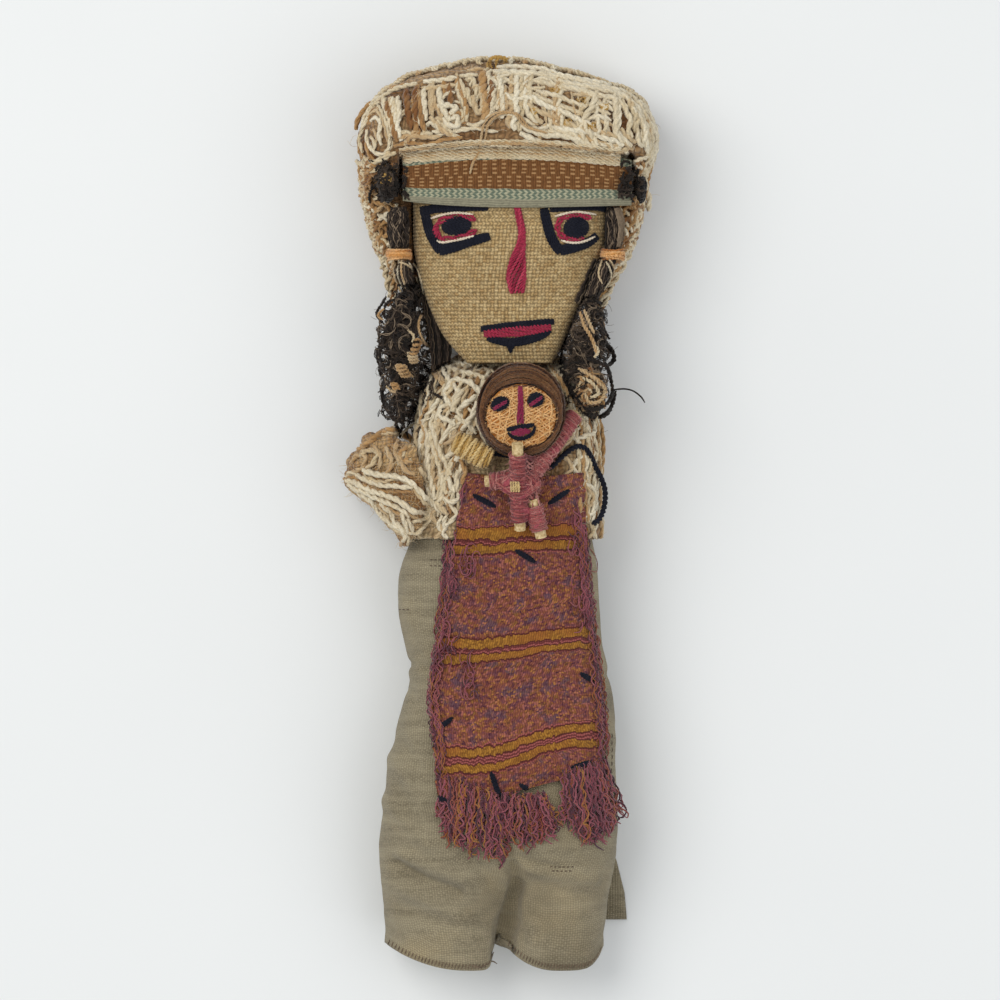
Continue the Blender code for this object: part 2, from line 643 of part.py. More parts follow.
def make_headband(parts):
    def place(u, v):
        x = BAND_LEFT + (BAND_RIGHT - BAND_LEFT) * u
        sag = BAND_SAG * (1 - (2 * u - 1) ** 2)
        bottom = BAND_BOTTOM - 0.6 * sag + 1.6 * (1 - u) ** 6
        top = BAND_TOP + sag * 1.2 - 1.6 * abs(2 * u - 1) ** 3
        return x, bottom + (top - bottom) * v

    return slab(
        "headband",
        14,
        2,
        place,
        lambda x, y: band_height(x),
        lambda x, y, u, v: band_height(x) + BAND_THICK,
        "band_weave",
        parts,
    )


def make_band_knot(name, middle, radii, parts):
    """A knotted end of the headband's cord, its sides twisted into lumps."""
    bm = bmesh.new()
    bmesh.ops.create_uvsphere(bm, u_segments=10, v_segments=6, radius=1.0)
    for vert in bm.verts:
        turn = math.atan2(vert.co.y, vert.co.x)
        vert.co *= 1 + 0.12 * math.sin(3 * turn + 4 * vert.co.z)
    bmesh.ops.transform(bm, matrix=Matrix.Translation(middle) @ Matrix.Diagonal((*radii, 1.0)), verts=bm.verts)
    return finish_mesh(name, bm, "dark_yarn", parts)


def make_headcloth(head, parts, helpers):
    """The pillowed cloth over the crown, which falls behind the head and down both sides."""
    cloth = loft("headcloth", HEADCLOTH_ROWS, 17, HEAD_SIDES, HEADCLOTH_SQUARENESS, "gauze", parts)
    window = slab(
        "brow_window",
        6,
        1,
        lambda u, v: (
            BAND_LEFT - WINDOW_MARGIN + (BAND_RIGHT - BAND_LEFT + 2 * WINDOW_MARGIN) * u,
            WINDOW_FOOT + (BAND_TOP + WINDOW_MARGIN + 2.2 * (1 - (2 * u - 1) ** 2) - WINDOW_FOOT) * v,
        ),
        lambda x, y: WINDOW_BACK,
        lambda x, y, u, v: WINDOW_FRONT,
        "gauze",
        parts,
    )
    boolean(cloth, swollen(head, helpers), "DIFFERENCE")
    boolean(cloth, as_cutter(window, helpers), "DIFFERENCE")
    return cloth


def make_patch(name, outline, material, parts, shells):
    """Embroidery on the face: an outline cut from the layer between two shells round the head."""
    curve = bpy.data.curves.new(name, "CURVE")
    curve.dimensions = "2D"
    curve.fill_mode = "BOTH"
    curve.extrude = 8.0 * MM
    spline = curve.splines.new("POLY")
    spline.points.add(len(outline) - 1)
    for point, (x, y) in zip(spline.points, outline):
        point.co = (x * MM, y * MM, 0.0, 1.0)
    spline.use_cyclic_u = True
    drawn = bpy.data.objects.new(name, curve)
    parts.objects.link(drawn)
    graph = bpy.context.evaluated_depsgraph_get()
    mesh = bpy.data.meshes.new_from_object(drawn.evaluated_get(graph))
    bpy.data.objects.remove(drawn)
    bm = bmesh.new()
    bm.from_mesh(mesh)
    bpy.data.meshes.remove(mesh)
    bmesh.ops.transform(bm, matrix=Matrix.Scale(1 / MM, 4), verts=bm.verts)
    bmesh.ops.translate(bm, vec=(0.0, 0.0, 40.0), verts=bm.verts)
    patch = finish_mesh(name, bm, material, parts, smooth=False)
    outer, inner = shells
    boolean(patch, outer, "INTERSECT")
    boolean(patch, inner, "DIFFERENCE")
    return patch


def make_face_embroidery(head, band, parts, helpers):
    """Eyes bordered in dark yarn, a red nose line and a mouth, all couched on the face cloth."""
    shells = swollen(head, helpers, GAP + STITCH_RISE), swollen(head, helpers, GAP)
    for name, outline, material in FACE_OUTLINES:
        patch = make_patch(name, outline, material, parts, shells)
        boolean(patch, swollen(band, helpers), "DIFFERENCE")


def lock(name, rows, material, parts, waves=0.0, count=6, sides=10):
    """A bunch of hair or yarn that runs along Y, with a lumpy outline where waves is given."""
    rings = []
    for i, y in enumerate(spaced(rows[0][0], rows[-1][0], count)):
        _, left, right, back, front = row_at(rows, y)
        across, deep = (right - left) / 2, (front - back) / 2
        ring = []
        for n in range(sides):
            angle = math.tau * n / sides
            swell = 1 + waves * math.sin(3 * angle + 1.9 * i) * math.sin(0.9 * i + 0.6)
            x = (left + right) / 2 + across * swell * math.cos(angle)
            z = (back + front) / 2 + deep * swell * math.sin(angle)
            ring.append((x, y, z))
        rings.append(ring)
    return skin(name, rings, material, parts)


def make_hair(parts, helpers, headcloth, head, shawl):
    """Two dark locks at the temples, each tied with orange thread and ending in a tangled tassel."""
    locks = [lock(name, rows, "dark_hair", parts, *shape) for name, (rows, *shape) in LOCKS.items()]
    for name, x, y, half in TIES:
        rows = [(y + rise, x - half + inset, x + half - inset, back, front) for rise, inset, back, front in TIE_STEPS]
        locks.append(lock(name, rows, "orange_thread", parts, count=4))
    clearances = [swollen(neighbour, helpers) for neighbour in (headcloth, head, shawl)]
    for piece in locks:
        for clearance in clearances:
            boolean(piece, clearance, "DIFFERENCE")


def make_sleeve_tassel(parts, helpers):
    """The sleeve's end at the figure's right: a fuzzy core that spreads into a fan of yarn loops."""
    outline = curved_points([(x, y, 0.0) for x, y in TASSEL_OUTLINE], 2.9)[:-1]
    middle = Vector((*TASSEL_MIDDLE, 0.0))
    rings = []
    for share, z, depth in TASSEL_STEPS:
        ring = []
        for n, point in enumerate(outline):
            looped = math.sin(math.pi * TASSEL_LOOPS * n / len(outline)) ** 2
            spot = middle.lerp(point, share * (1 - depth * looped))
            climb = max(0.0, (spot.x - TASSEL_FAR_X) / TASSEL_REACH)
            spot.z = z * (1 - 0.45 * climb) + TASSEL_LEAN * climb
            ring.append(spot)
        rings.append(ring)
    tassel = skin("sleeve_tassel", rings, "gauze", parts)
    rows = [*SHAWL_ROWS[3:]]
    rows += [(y, left, right, 0.0, front) for y, left, right, _, front in TORSO_ROWS[5:7]]
    form = loft("shoulder_form", rows, 12, 36, BODY_SQUARENESS, "gauze", parts)
    boolean(tassel, swollen(as_cutter(form, helpers), helpers), "DIFFERENCE")


def make_forearm(parts):
    """The large figure's forearm, wound with tan yarn, holding the infant."""
    rings = []
    start, end = Vector(FOREARM[0]), Vector(FOREARM[1])
    along = (end - start).normalized()
    side = along.cross(Vector((0, 0, 1))).normalized()
    up = side.cross(along)
    turns = [math.tau * n / FOREARM_SIDES for n in range(FOREARM_SIDES)]
    for share, radius in FOREARM_STEPS:
        middle = start.lerp(end, share)
        rings.append([middle + radius * (math.cos(turn) * side + math.sin(turn) * up) for turn in turns])
    skin("forearm", rings, "tan_yarn", parts)


def make_apron(parts):
    """The fringed tapestry cloth, draped over the shawl's front and the skirt."""

    def place(u, v):
        top = APRON_EDGES[0][0] - 1.6 * math.sin(math.pi * u)
        _, left, right = APRON_EDGES[-1]
        foot = apron_foot(left + (right - left) * u)
        y = foot + (top - foot) * v
        _, left, right = row_at(APRON_EDGES, y)
        return left + (right - left) * u, y

    slab(
        "apron", 9, 22, place, apron_seat, lambda x, y, u, v: apron_top(x, y), "tapestry", parts
    )


def make_fringe(name, head, foot_left, foot_right, strands, parts):
    """One bunch of the apron's fringe: ridged strands side by side, with ragged ends."""

    def place(u, v):
        x = head[0] + (head[1] - head[0]) * u
        start = Vector((x, apron_foot(x) - GAP))
        end = Vector(foot_left).lerp(Vector(foot_right), u)
        end.y -= 2.2 * math.sin(math.pi * strands * u) ** 2 + 1.2 * math.sin(7.0 * u)
        return end.lerp(start, v)

    def over(x, y, u, v):
        ridge = math.sin(math.pi * strands * u) ** 2
        return skirt_top(x, y) + 1.0 + 1.5 * ridge * (0.5 + 0.5 * math.sin(math.pi * v))

    slab(name, 2 * strands, 4, place, skirt_top, over, "tapestry", parts)


def make_stitches(parts):
    """Dark yarn stitches that hold the apron to the skirt, each just clear of the cloth under it."""
    for n, (x, y, degrees) in enumerate(STITCHES):
        turn = math.radians(degrees)
        run = Vector((math.cos(turn), math.sin(turn), 0)) * STITCH_HALF
        ends = [Vector((x, y, 0)) - run, Vector((x, y, 0)) + run]
        rest = max(apron_top(x, y), *(apron_top(end.x, end.y) for end in ends))
        for end in ends:
            end.z = rest + GAP + STITCH_RADIUS
        bm = rod(*ends, STITCH_RADIUS, sides=6)
        rims = [e for e in bm.edges if e.calc_face_angle() > STITCH_RIM]
        bmesh.ops.bevel(bm, geom=rims, offset=STITCH_BEVEL, segments=1, affect="EDGES")
        finish_mesh(f"apron_stitch_{n + 1}", bm, "dark_yarn", parts)


# The infant
def oval(wide, tall, down, z, sides=22):
    return [
        (
            INFANT_X + wide * math.cos(math.tau * n / sides),
            INFANT_Y - down + tall * math.sin(math.tau * n / sides),
            z,
        )
        for n in range(sides)
    ]


def make_infant_head(parts):
    """A lens-shaped hood wound in brown thread, with the face set into a shallow dish in it."""
    hood = [oval(HOOD_WIDE * share, HOOD_TALL * share, 0.0, z) for share, z in HOOD_STEPS]
    for room, z in ((FACE_CLEARANCE + 0.3, HOOD_RIM), (FACE_CLEARANCE, HOOD_DISH)):
        hood.append(oval(FACE_WIDE + room, FACE_TALL + room, FACE_DOWN, z))
    skin("infant_hood", hood, "brown_thread", parts)
    face = [
        oval(FACE_WIDE * share - FACE_CLEARANCE, FACE_TALL * share - FACE_CLEARANCE, FACE_DOWN, z)
        for share, z in FACE_STEPS
    ]
    skin("infant_face", face, "infant_face", parts)


def make_infant_body(parts, helpers):
    """Pink yarn wound on four crossed reeds, whose cut ends show."""
    body = finish_mesh("infant_body", lump(*BODY_LUMP, detail=1), "pink_yarn", parts)
    windings, bores = [], []
    for name, (start, end, first, last, before, past) in REEDS.items():
        start, end = Vector(start), Vector(end)
        wound = rod(start.lerp(end, first), start.lerp(end, last), WOUND)
        windings.append(finish_mesh(name + "_winding", wound, "pink_yarn", parts))
        away = (end - start).normalized()
        hole = rod(start - away * before, end + away * past, BORE)
        bores.append(finish_mesh(name + "_bore", hole, "reed", parts))
        finish_mesh(name, rod(start, end, REED, sides=10), "reed", parts)
    unite(body, windings, helpers)
    for bore in bores:
        boolean(body, as_cutter(bore, helpers), "DIFFERENCE")


def main():
    clear_scene()
    parts = new_collection("chancay_figure")
    helpers = new_collection("cutters")
    make_tunic(parts)
    make_back_panel(parts)
    shawl = make_shawl(parts)
    head = make_head(parts)
    band = make_headband(parts)
    headcloth = make_headcloth(head, parts, helpers)
    for name, middle, radii in BAND_KNOTS:
        knot = make_band_knot(name, middle, radii, parts)
        boolean(knot, swollen(headcloth, helpers), "DIFFERENCE")
    make_face_embroidery(head, band, parts, helpers)
    make_hair(parts, helpers, headcloth, head, shawl)
    make_sleeve_tassel(parts, helpers)
    make_forearm(parts)
    make_apron(parts)
    for name, *shape in FRINGES:
        make_fringe(name, *shape, parts)
    make_stitches(parts)
    strand("crown_tuft", CROWN_TUFT, CROWN_TUFT_RADIUS, 1.4, "tan_yarn", parts)
    make_infant_head(parts)
    make_infant_body(parts, helpers)
    strand("neck_cord", NECK_CORD, CORD, 2.4, "dark_yarn", parts)
    strand("carrying_cord", CARRYING_CORD, CORD, 2.6, "dark_yarn", parts)


main()
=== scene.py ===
# Looks of a sewn textile figure that holds an infant and lies on its back.
# Metres, as in the frame: +X is the viewer's right, +Y runs to the crown, +Z comes out of the face.
# Sizes with MM are in millimetres. Routes of yarns are pixels of the photograph, laid on what carries them.

import math

import bmesh
import bpy
import numpy as np
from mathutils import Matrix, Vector, noise
from mathutils.bvhtree import BVHTree


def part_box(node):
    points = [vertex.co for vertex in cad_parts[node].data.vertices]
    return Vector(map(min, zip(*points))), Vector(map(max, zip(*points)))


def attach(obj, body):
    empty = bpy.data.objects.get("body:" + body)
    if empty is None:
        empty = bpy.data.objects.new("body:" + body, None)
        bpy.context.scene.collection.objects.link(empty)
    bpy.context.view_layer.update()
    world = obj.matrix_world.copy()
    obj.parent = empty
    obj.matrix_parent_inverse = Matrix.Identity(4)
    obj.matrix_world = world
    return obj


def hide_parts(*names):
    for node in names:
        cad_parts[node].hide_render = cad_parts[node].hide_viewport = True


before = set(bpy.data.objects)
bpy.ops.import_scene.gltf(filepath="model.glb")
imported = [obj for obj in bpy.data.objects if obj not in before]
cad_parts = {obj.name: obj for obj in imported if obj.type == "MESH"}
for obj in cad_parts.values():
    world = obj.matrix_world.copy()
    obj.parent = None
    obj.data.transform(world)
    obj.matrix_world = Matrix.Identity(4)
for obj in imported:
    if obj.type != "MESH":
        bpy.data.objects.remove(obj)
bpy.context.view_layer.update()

MM = 0.001
PIXEL = 0.36 * MM  # size of a photograph's pixel on the figure
PHOTO_MIDDLE_X, PHOTO_MIDDLE_Y = 500.0, 514.5  # the pixel that shows the frame's origin

FLOOR_GAP = 1.3 * MM  # least height of a yarn's middle

CAMERA_AWAY = 3.0
SENSOR_WIDTH = 36.0
IMAGE_WIDTH = 1000
FACE_HEIGHT = 34 * MM  # height of the surfaces that are in the photograph's scale


def spot(x, y):
    """Where a pixel of the photograph lies, across and along the figure."""
    return (x - PHOTO_MIDDLE_X) * PIXEL, (PHOTO_MIDDLE_Y - y) * PIXEL


# Camera, floor and light
# Each lamp: its place, its width, its power and its colour
WINDOW = ((-1.2, 0.8, 1.9), 1.9, 27.5, (1.0, 0.98, 0.95))
BOUNCE = ((1.4, -0.5, 1.7), 2.0, 10.0, (0.98, 0.98, 1.0))
SKY_COLOUR, SKY_STRENGTH = (0.96, 0.98, 1.0, 1.0), 0.65
FLOOR_HALF, FLOOR_Z = 6.0, -0.2 * MM
FLOOR_COLOURS = (0.77, 0.785, 0.78), (0.81, 0.825, 0.82)


def make_camera():
    """Looks straight down on the figure."""
    data = bpy.data.cameras.new("camera")
    data.sensor_width = SENSOR_WIDTH
    data.lens = SENSOR_WIDTH * CAMERA_AWAY / (IMAGE_WIDTH * PIXEL)
    data.clip_end = 20.0
    camera = linked("camera", data)
    x, y = spot(IMAGE_WIDTH / 2, IMAGE_WIDTH / 2)
    camera.location = (x, y, CAMERA_AWAY + FACE_HEIGHT)
    bpy.context.scene.camera = camera


def make_light(name, place, size, power, colour):
    data = bpy.data.lights.new(name, "AREA")
    data.shape = "DISK"
    data.size = size
    data.energy = power
    data.color = colour
    light = linked(name, data)
    light.location = place
    light.rotation_euler = (-Vector(place)).to_track_quat("-Z", "Y").to_euler()


def make_studio():
    """A pale floor under soft light that comes mostly from the left."""
    bpy.context.scene.view_settings.view_transform = "Standard"
    world = bpy.data.worlds.new("studio")
    world.use_nodes = True
    sky = world.node_tree.nodes["Background"]
    sky.inputs["Color"].default_value = SKY_COLOUR
    sky.inputs["Strength"].default_value = SKY_STRENGTH
    bpy.context.scene.world = world
    make_light("window", *WINDOW)
    make_light("bounce", *BOUNCE)
    mesh = bpy.data.meshes.new("floor")
    corners = ((-1, -1), (1, -1), (1, 1), (-1, 1))
    mesh.from_pydata([(x * FLOOR_HALF, y * FLOOR_HALF, FLOOR_Z) for x, y in corners], [], [(0, 1, 2, 3)])
    floor = linked("floor", mesh)
    paper = Finish("floor_paper", roughness=0.8, specular=0.2)
    grain = paper.noise(paper.place(), 6.0, detail=3.0)
    paper.colour(paper.mix(grain, *FLOOR_COLOURS))
    mesh.materials.append(paper.material)


# Finishes
def hue(text):
    """A linear colour from the red, green and blue that the eye sees, two hex digits each."""
    seen = [int(text[n:n + 2], 16) / 255 for n in (0, 2, 4)]
    return tuple(c / 12.92 if c < 0.04045 else ((c + 0.055) / 1.055) ** 2.4 for c in seen)


class Finish:
    """A procedural material while its nodes are put together."""

    def __init__(self, name, roughness=0.95, sheen=0.0, specular=0.2):
        self.material = bpy.data.materials.new(name)
        self.material.use_nodes = True
        self.nodes = self.material.node_tree.nodes
        self.links = self.material.node_tree.links
        self.shader = self.nodes["Principled BSDF"]
        self.shader.inputs["Roughness"].default_value = roughness
        self.shader.inputs["Specular IOR Level"].default_value = specular
        self.shader.inputs["Sheen Weight"].default_value = sheen

    def feed(self, socket, value):
        if isinstance(value, str):
            value = hue(value)
        if isinstance(value, bpy.types.NodeSocket):
            self.links.new(value, socket)
        elif isinstance(value, tuple) and len(value) == 3 and socket.type == "RGBA":
            socket.default_value = (*value, 1.0)
        else:
            socket.default_value = value

    def place(self):
        return self.nodes.new("ShaderNodeTexCoord").outputs["Object"]

    def cloth(self):
        """The cloth's own map, as two numbers: across and along."""
        uv = self.nodes.new("ShaderNodeUVMap")
        uv.uv_map = "cloth"
        apart = self.nodes.new("ShaderNodeSeparateXYZ")
        self.links.new(uv.outputs[0], apart.inputs[0])
        return apart.outputs[0], apart.outputs[1]

    def reading(self, name):
        node = self.nodes.new("ShaderNodeAttribute")
        node.attribute_name = name
        return node.outputs["Fac"]

    def math(self, operation, *values):
        node = self.nodes.new("ShaderNodeMath")
        node.operation = operation
        for socket, value in zip(node.inputs, values):
            self.feed(socket, value)
        return node.outputs[0]

    def scaled(self, value, factor, offset=None):
        """A value times a factor, plus an offset if there is one."""
        if offset is None:
            return self.math("MULTIPLY", value, factor)
        return self.math("MULTIPLY_ADD", value, factor, offset)

    def plus(self, first, second):
        return self.math("ADD", first, second)

    def wave(self, value, length):
        """A sine wave along a value."""
        return self.math("SINE", self.scaled(value, math.tau / length))

    def cell(self, x, y, z=0.0):
        """A random number for each whole step of two values."""
        return self.speckle(self.point(self.math("FLOOR", x), self.math("FLOOR", y), z))

    def point(self, x, y, z=0.0):
        node = self.nodes.new("ShaderNodeCombineXYZ")
        for socket, value in zip(node.inputs, (x, y, z)):
            self.feed(socket, value)
        return node.outputs[0]

    def noise(self, where, scale, detail=2.0, roughness=0.5):
        node = self.nodes.new("ShaderNodeTexNoise")
        self.feed(node.inputs["Vector"], where)
        node.inputs["Scale"].default_value = scale
        node.inputs["Detail"].default_value = detail
        node.inputs["Roughness"].default_value = roughness
        return node.outputs[0]

    def speckle(self, where):
        node = self.nodes.new("ShaderNodeTexWhiteNoise")
        self.feed(node.inputs["Vector"], where)
        return node.outputs["Value"]

    def between(self, value, low, high):
        """A value brought to 0 at low and 1 at high, and held there beyond them."""
        node = self.nodes.new("ShaderNodeMapRange")
        self.feed(node.inputs[0], value)
        node.inputs[1].default_value = low
        node.inputs[2].default_value = high
        return node.outputs[0]

    def near(self, value, middle, half):
        return self.math("COMPARE", value, middle, half)

    def mix(self, share, first, second, way="MIX"):
        node = self.nodes.new("ShaderNodeMix")
        node.data_type = "RGBA"
        node.blend_type = way
        self.feed(node.inputs[0], share)
        self.feed(node.inputs[6], first)
        self.feed(node.inputs[7], second)
        return node.outputs[2]

    def steps(self, share, colours):
        """Colours spread evenly along a value from 0 to 1."""
        colours = colours.split()
        node = self.nodes.new("ShaderNodeValToRGB")
        ramp = node.color_ramp
        while len(ramp.elements) < len(colours):
            ramp.elements.new(0.5)
        for n, colour in enumerate(colours):
            ramp.elements[n].position = n / (len(colours) - 1)
        for n, colour in enumerate(colours):
            ramp.elements[n].color = (*hue(colour), 1.0)
        self.feed(node.inputs[0], share)
        return node.outputs[0]

    def dim(self, colour, share, least):
        """A colour darkened to least where share is 0."""
        value = self.scaled(share, 1.0 - least, least)
        grey = self.nodes.new("ShaderNodeCombineColor")
        for socket in grey.inputs[:3]:
            self.links.new(value, socket)
        return self.mix(1.0, colour, grey.outputs[0], "MULTIPLY")

    def colour(self, value):
        self.feed(self.shader.inputs["Base Color"], value)

    def bump(self, height, depth, strength=1.0):
        """Relief too fine for the mesh, depth in millimetres."""
        node = self.nodes.new("ShaderNodeBump")
        node.inputs["Strength"].default_value = strength
        node.inputs["Distance"].default_value = depth * MM
        self.links.new(height, node.inputs["Height"])
        self.links.new(node.outputs[0], self.shader.inputs["Normal"])

    def threads(self, across, along):
        """A plain weave in threads: its height, and how far the threads that run along lie on top."""
        a, b = self.wave(across, 2.0), self.wave(along, 2.0)
        over = self.scaled(self.scaled(a, b), 0.5, 0.5)
        warp = self.scaled(self.math("ABSOLUTE", a), over)
        under = self.math("SUBTRACT", 1.0, over)
        weft = self.scaled(self.math("ABSOLUTE", b), under)
        return self.math("MAXIMUM", warp, weft), over


def yarn_finish(name, colours, sheen=0.25, specular=0.15, mottle=0.62, fibre=0.12):
    """Spun yarn: its colour goes by each strand's tone, with darker flecks and fine fibres."""
    yarn = Finish(name, sheen=sheen, specular=specular)
    place = yarn.place()
    tone = yarn.reading("tone")
    drift = yarn.noise(place, 160.0, detail=3.0)
    base = yarn.steps(yarn.plus(tone, yarn.scaled(drift, 0.5, -0.25)), colours)
    flecks = yarn.noise(place, 1400.0, detail=3.0, roughness=0.6)
    yarn.colour(yarn.dim(base, yarn.between(flecks, 0.3, 0.62), mottle))
    yarn.bump(yarn.noise(place, 2600.0, detail=2.0), fibre)
    return yarn.material


def tunic_finish():
    """Fine taupe plain weave in short level dashes, with soft mottling, paler worn patches and painted shade
    between its threads.
    """
    cloth = Finish("tunic_weave", sheen=0.15, specular=0.1)
    across, along = cloth.cloth()
    place = cloth.place()
    wobble = cloth.scaled(cloth.noise(place, 110.0, detail=3.0), 3.0, -1.5)
    a = cloth.math("DIVIDE", across, 0.95)
    b = cloth.math("DIVIDE", cloth.plus(along, wobble), 0.58)
    height, over = cloth.threads(a, b)
    bands = cloth.noise(cloth.point(cloth.scaled(across, 0.035), cloth.scaled(along, 0.3)), 1.0, detail=3.0)
    patches = cloth.noise(place, 26.0, detail=4.0, roughness=0.6)
    stains = cloth.noise(place, 17.0, detail=5.0, roughness=0.65)
    base = cloth.mix(cloth.between(bands, 0.35, 0.65), "7c725b", "a0957a")
    base = cloth.mix(cloth.scaled(cloth.cell(a, b), 0.55), base, "a99d82")
    base = cloth.mix(cloth.between(patches, 0.52, 0.75), base, "ab9b79")
    base = cloth.mix(cloth.between(stains, 0.52, 0.8), base, "6a604c")
    base = cloth.mix(cloth.scaled(over, 0.2), base, "b9ad92")
    # Painted shade: the colour darkens to 0.6 in the low places between the threads.
    cloth.colour(cloth.dim(base, cloth.between(height, 0.1, 0.8), 0.6))
    cloth.bump(height, 0.3)
    return cloth.material


def face_finish(thread):
    """Coarse tan plain weave, with painted shade in the holes between uneven threads."""
    cloth = Finish("face_weave", sheen=0.1, specular=0.12)
    across, along = cloth.cloth()
    place = cloth.place()
    a, b = cloth.math("DIVIDE", across, thread), cloth.math("DIVIDE", along, thread)
    height, over = cloth.threads(a, b)
    patches = cloth.noise(place, 30.0, detail=4.0, roughness=0.6)
    base = cloth.mix(cloth.between(patches, 0.36, 0.66), "a07d50", "c2a270")
    base = cloth.mix(cloth.scaled(cloth.cell(a, b), 0.75), base, "dcc292")
    base = cloth.mix(cloth.scaled(over, 0.3), base, "c0a873")
    worn = cloth.noise(place, 900.0, detail=2.0)
    height = cloth.scaled(height, cloth.between(worn, 0.2, 0.55))
    # Painted shade: the colour darkens to 0.34 where the threads are low, in the holes of the weave and
    # where the worn noise has flattened them.
    cloth.colour(cloth.dim(base, cloth.between(height, 0.08, 0.8), 0.34))
    cloth.bump(height, 0.3, 0.9)
    return cloth.material


BAND_COLUMN, BAND_ROW = 3.5, 1.45  # the headband's repeat across and along, in millimetres
BAND_RIB = BAND_COLUMN / 4
# Where its stripes end, from its lower edge: plain edge, zigzags, and the field and its middle
BAND_EDGE, BAND_LOWER, BAND_MIDDLE, BAND_UPPER = 2.9, 6.4, 11.5, 16.6


def band_finish():
    """The headband's stripes: olive edge, sage zigzags, and a brown field with columns of pale dashes, with
    painted shade between its ribs and rows.
    """
    band = Finish("headband_weave", sheen=0.1, specular=0.15)
    across, along = band.cloth()
    place = band.place()
    uneven = band.noise(place, 150.0, detail=3.0)
    worn = band.noise(place, 420.0, detail=3.0)
    across = band.plus(across, band.scaled(uneven, 1.6, -0.8))
    along = band.plus(along, band.scaled(uneven, -1.4, 0.7))
    upper_half = band.math("GREATER_THAN", along, BAND_MIDDLE)
    staggered = band.scaled(upper_half, BAND_COLUMN / 2, across)
    columns = band.math("COSINE", band.scaled(staggered, math.tau / BAND_COLUMN))
    dash = band.scaled(band.between(columns, 0.0, 0.4), band.between(band.wave(along, BAND_ROW), -0.1, 0.5))
    brown = band.mix(worn, "5d3b20", "855a34")
    # Painted shade: the brown darkens to 0.72 between the ribs.
    brown = band.dim(brown, band.between(band.wave(across, BAND_RIB), -0.9, 0.4), 0.72)
    field = band.mix(band.scaled(dash, 0.75), brown, "b08a5e")
    turns = band.scaled(band.math("PINGPONG", along, 0.9), 3.4)
    slant = band.math("SINE", band.plus(band.scaled(across, math.tau / 2.1), turns))
    zigzag = band.mix(band.between(slant, -0.1, 0.4), "6d7766", "a9a78c")
    # Painted shade: the zigzags darken to 0.7 between the rows.
    zigzag = band.dim(zigzag, band.between(band.wave(along, 0.9), -1.0, 0.2), 0.7)
    edge = band.mix(worn, "7d7a66", "a19c84")
    # Painted shade: the edge darkens to 0.7 between the rows.
    pattern = band.dim(edge, band.between(band.wave(along, 0.8), -1.0, 0.5), 0.7)
    for start, stripe in ((BAND_EDGE, zigzag), (BAND_LOWER, field), (BAND_UPPER, zigzag)):
        pattern = band.mix(band.math("GREATER_THAN", along, start), pattern, stripe)
    band.colour(band.dim(pattern, band.between(band.noise(place, 1300.0), 0.3, 0.6), 0.8))
    band.bump(band.noise(place, 2400.0), 0.1)
    return band.material


# The apron's gold stripes and pink bands, each by its middle and half width in pixels down the cloth
GOLD_STRIPES = ((534.0, 5.2), (549.0, 4.2), (643.5, 4.6), (658.5, 3.8), (751.5, 3.9), (767.5, 3.8))
PINK_BANDS = ((541.6, 15.0), (651.0, 14.0), (759.5, 15.0))
APRON_RIB = 0.85


def apron_finish():
    """Tapestry: blurred patches of rose, rust and purple, flecks along its rows, ragged gold stripes, and
    painted shade between its upright ribs.
    """
    cloth = Finish("apron_tapestry", sheen=0.2, specular=0.1)
    across, down = cloth.cloth()
    place = cloth.place()

    def pattern(x, y, z=0.0, **kind):
        return cloth.noise(cloth.point(cloth.scaled(*x), cloth.scaled(*y), z), 1.0, **kind)

    column = cloth.math("FLOOR", cloth.math("DIVIDE", across, APRON_RIB))
    ragged = cloth.scaled(cloth.speckle(cloth.point(column, 5.0)), 2.2, -1.1)
    swing = cloth.scaled(cloth.noise(place, 120.0, detail=3.0), 10.0, -5.0)
    wavy = cloth.plus(down, cloth.plus(ragged, swing))
    row = cloth.math("FLOOR", cloth.math("DIVIDE", wavy, 1.8))
    motif = pattern((across, 0.3), (wavy, 0.15), detail=4.0, roughness=0.7)
    purple = pattern((across, 0.16), (down, 0.055), 7.0, detail=2.0)
    dashes = pattern((across, 0.6), (row, 3.7), detail=1.0)
    fleck = cloth.speckle(cloth.point(column, row))
    base = cloth.steps(cloth.between(motif, 0.3, 0.7), "583741 6c4047 7a4540 824b34 835a2c 6e403b")
    base = cloth.mix(cloth.scaled(cloth.between(purple, 0.54, 0.62), 0.75), base, "5a4450")
    base = cloth.mix(cloth.between(dashes, 0.58, 0.66), base, "a26c3a")
    base = cloth.mix(cloth.between(dashes, 0.4, 0.3), base, "512a38")
    base = cloth.mix(cloth.scaled(cloth.between(fleck, 0.76, 0.95), 0.55), base, "ad6a5c")
    base = cloth.mix(cloth.scaled(cloth.between(fleck, 0.24, 0.05), 0.6), base, "451f2c")
    rows = cloth.math("SINE", cloth.scaled(wavy, 1.9))
    pink = cloth.mix(cloth.between(rows, -0.3, 0.5), "66302f", "9a5550")
    for middle, half in PINK_BANDS:
        base = cloth.mix(cloth.near(wavy, middle, half), base, pink)
    gold = cloth.mix(cloth.speckle(cloth.point(column, row, 3.0)), "7a5020", "a87630")
    gold = cloth.mix(cloth.between(cloth.noise(place, 60.0, detail=3.0), 0.45, 0.65), gold, "95592a")
    for middle, half in GOLD_STRIPES:
        base = cloth.mix(cloth.near(wavy, middle, half + 1.5), base, "572a24")
        base = cloth.mix(cloth.near(wavy, middle, half), base, gold)
    # Painted shade: the colour darkens to 0.55 between the upright ribs.
    rib = cloth.math("ABSOLUTE", cloth.wave(across, 2 * APRON_RIB))
    cloth.colour(cloth.dim(base, cloth.between(rib, 0.05, 0.7), 0.55))
    cloth.bump(cloth.noise(place, 1700.0, detail=3.0), 0.35)
    return cloth.material


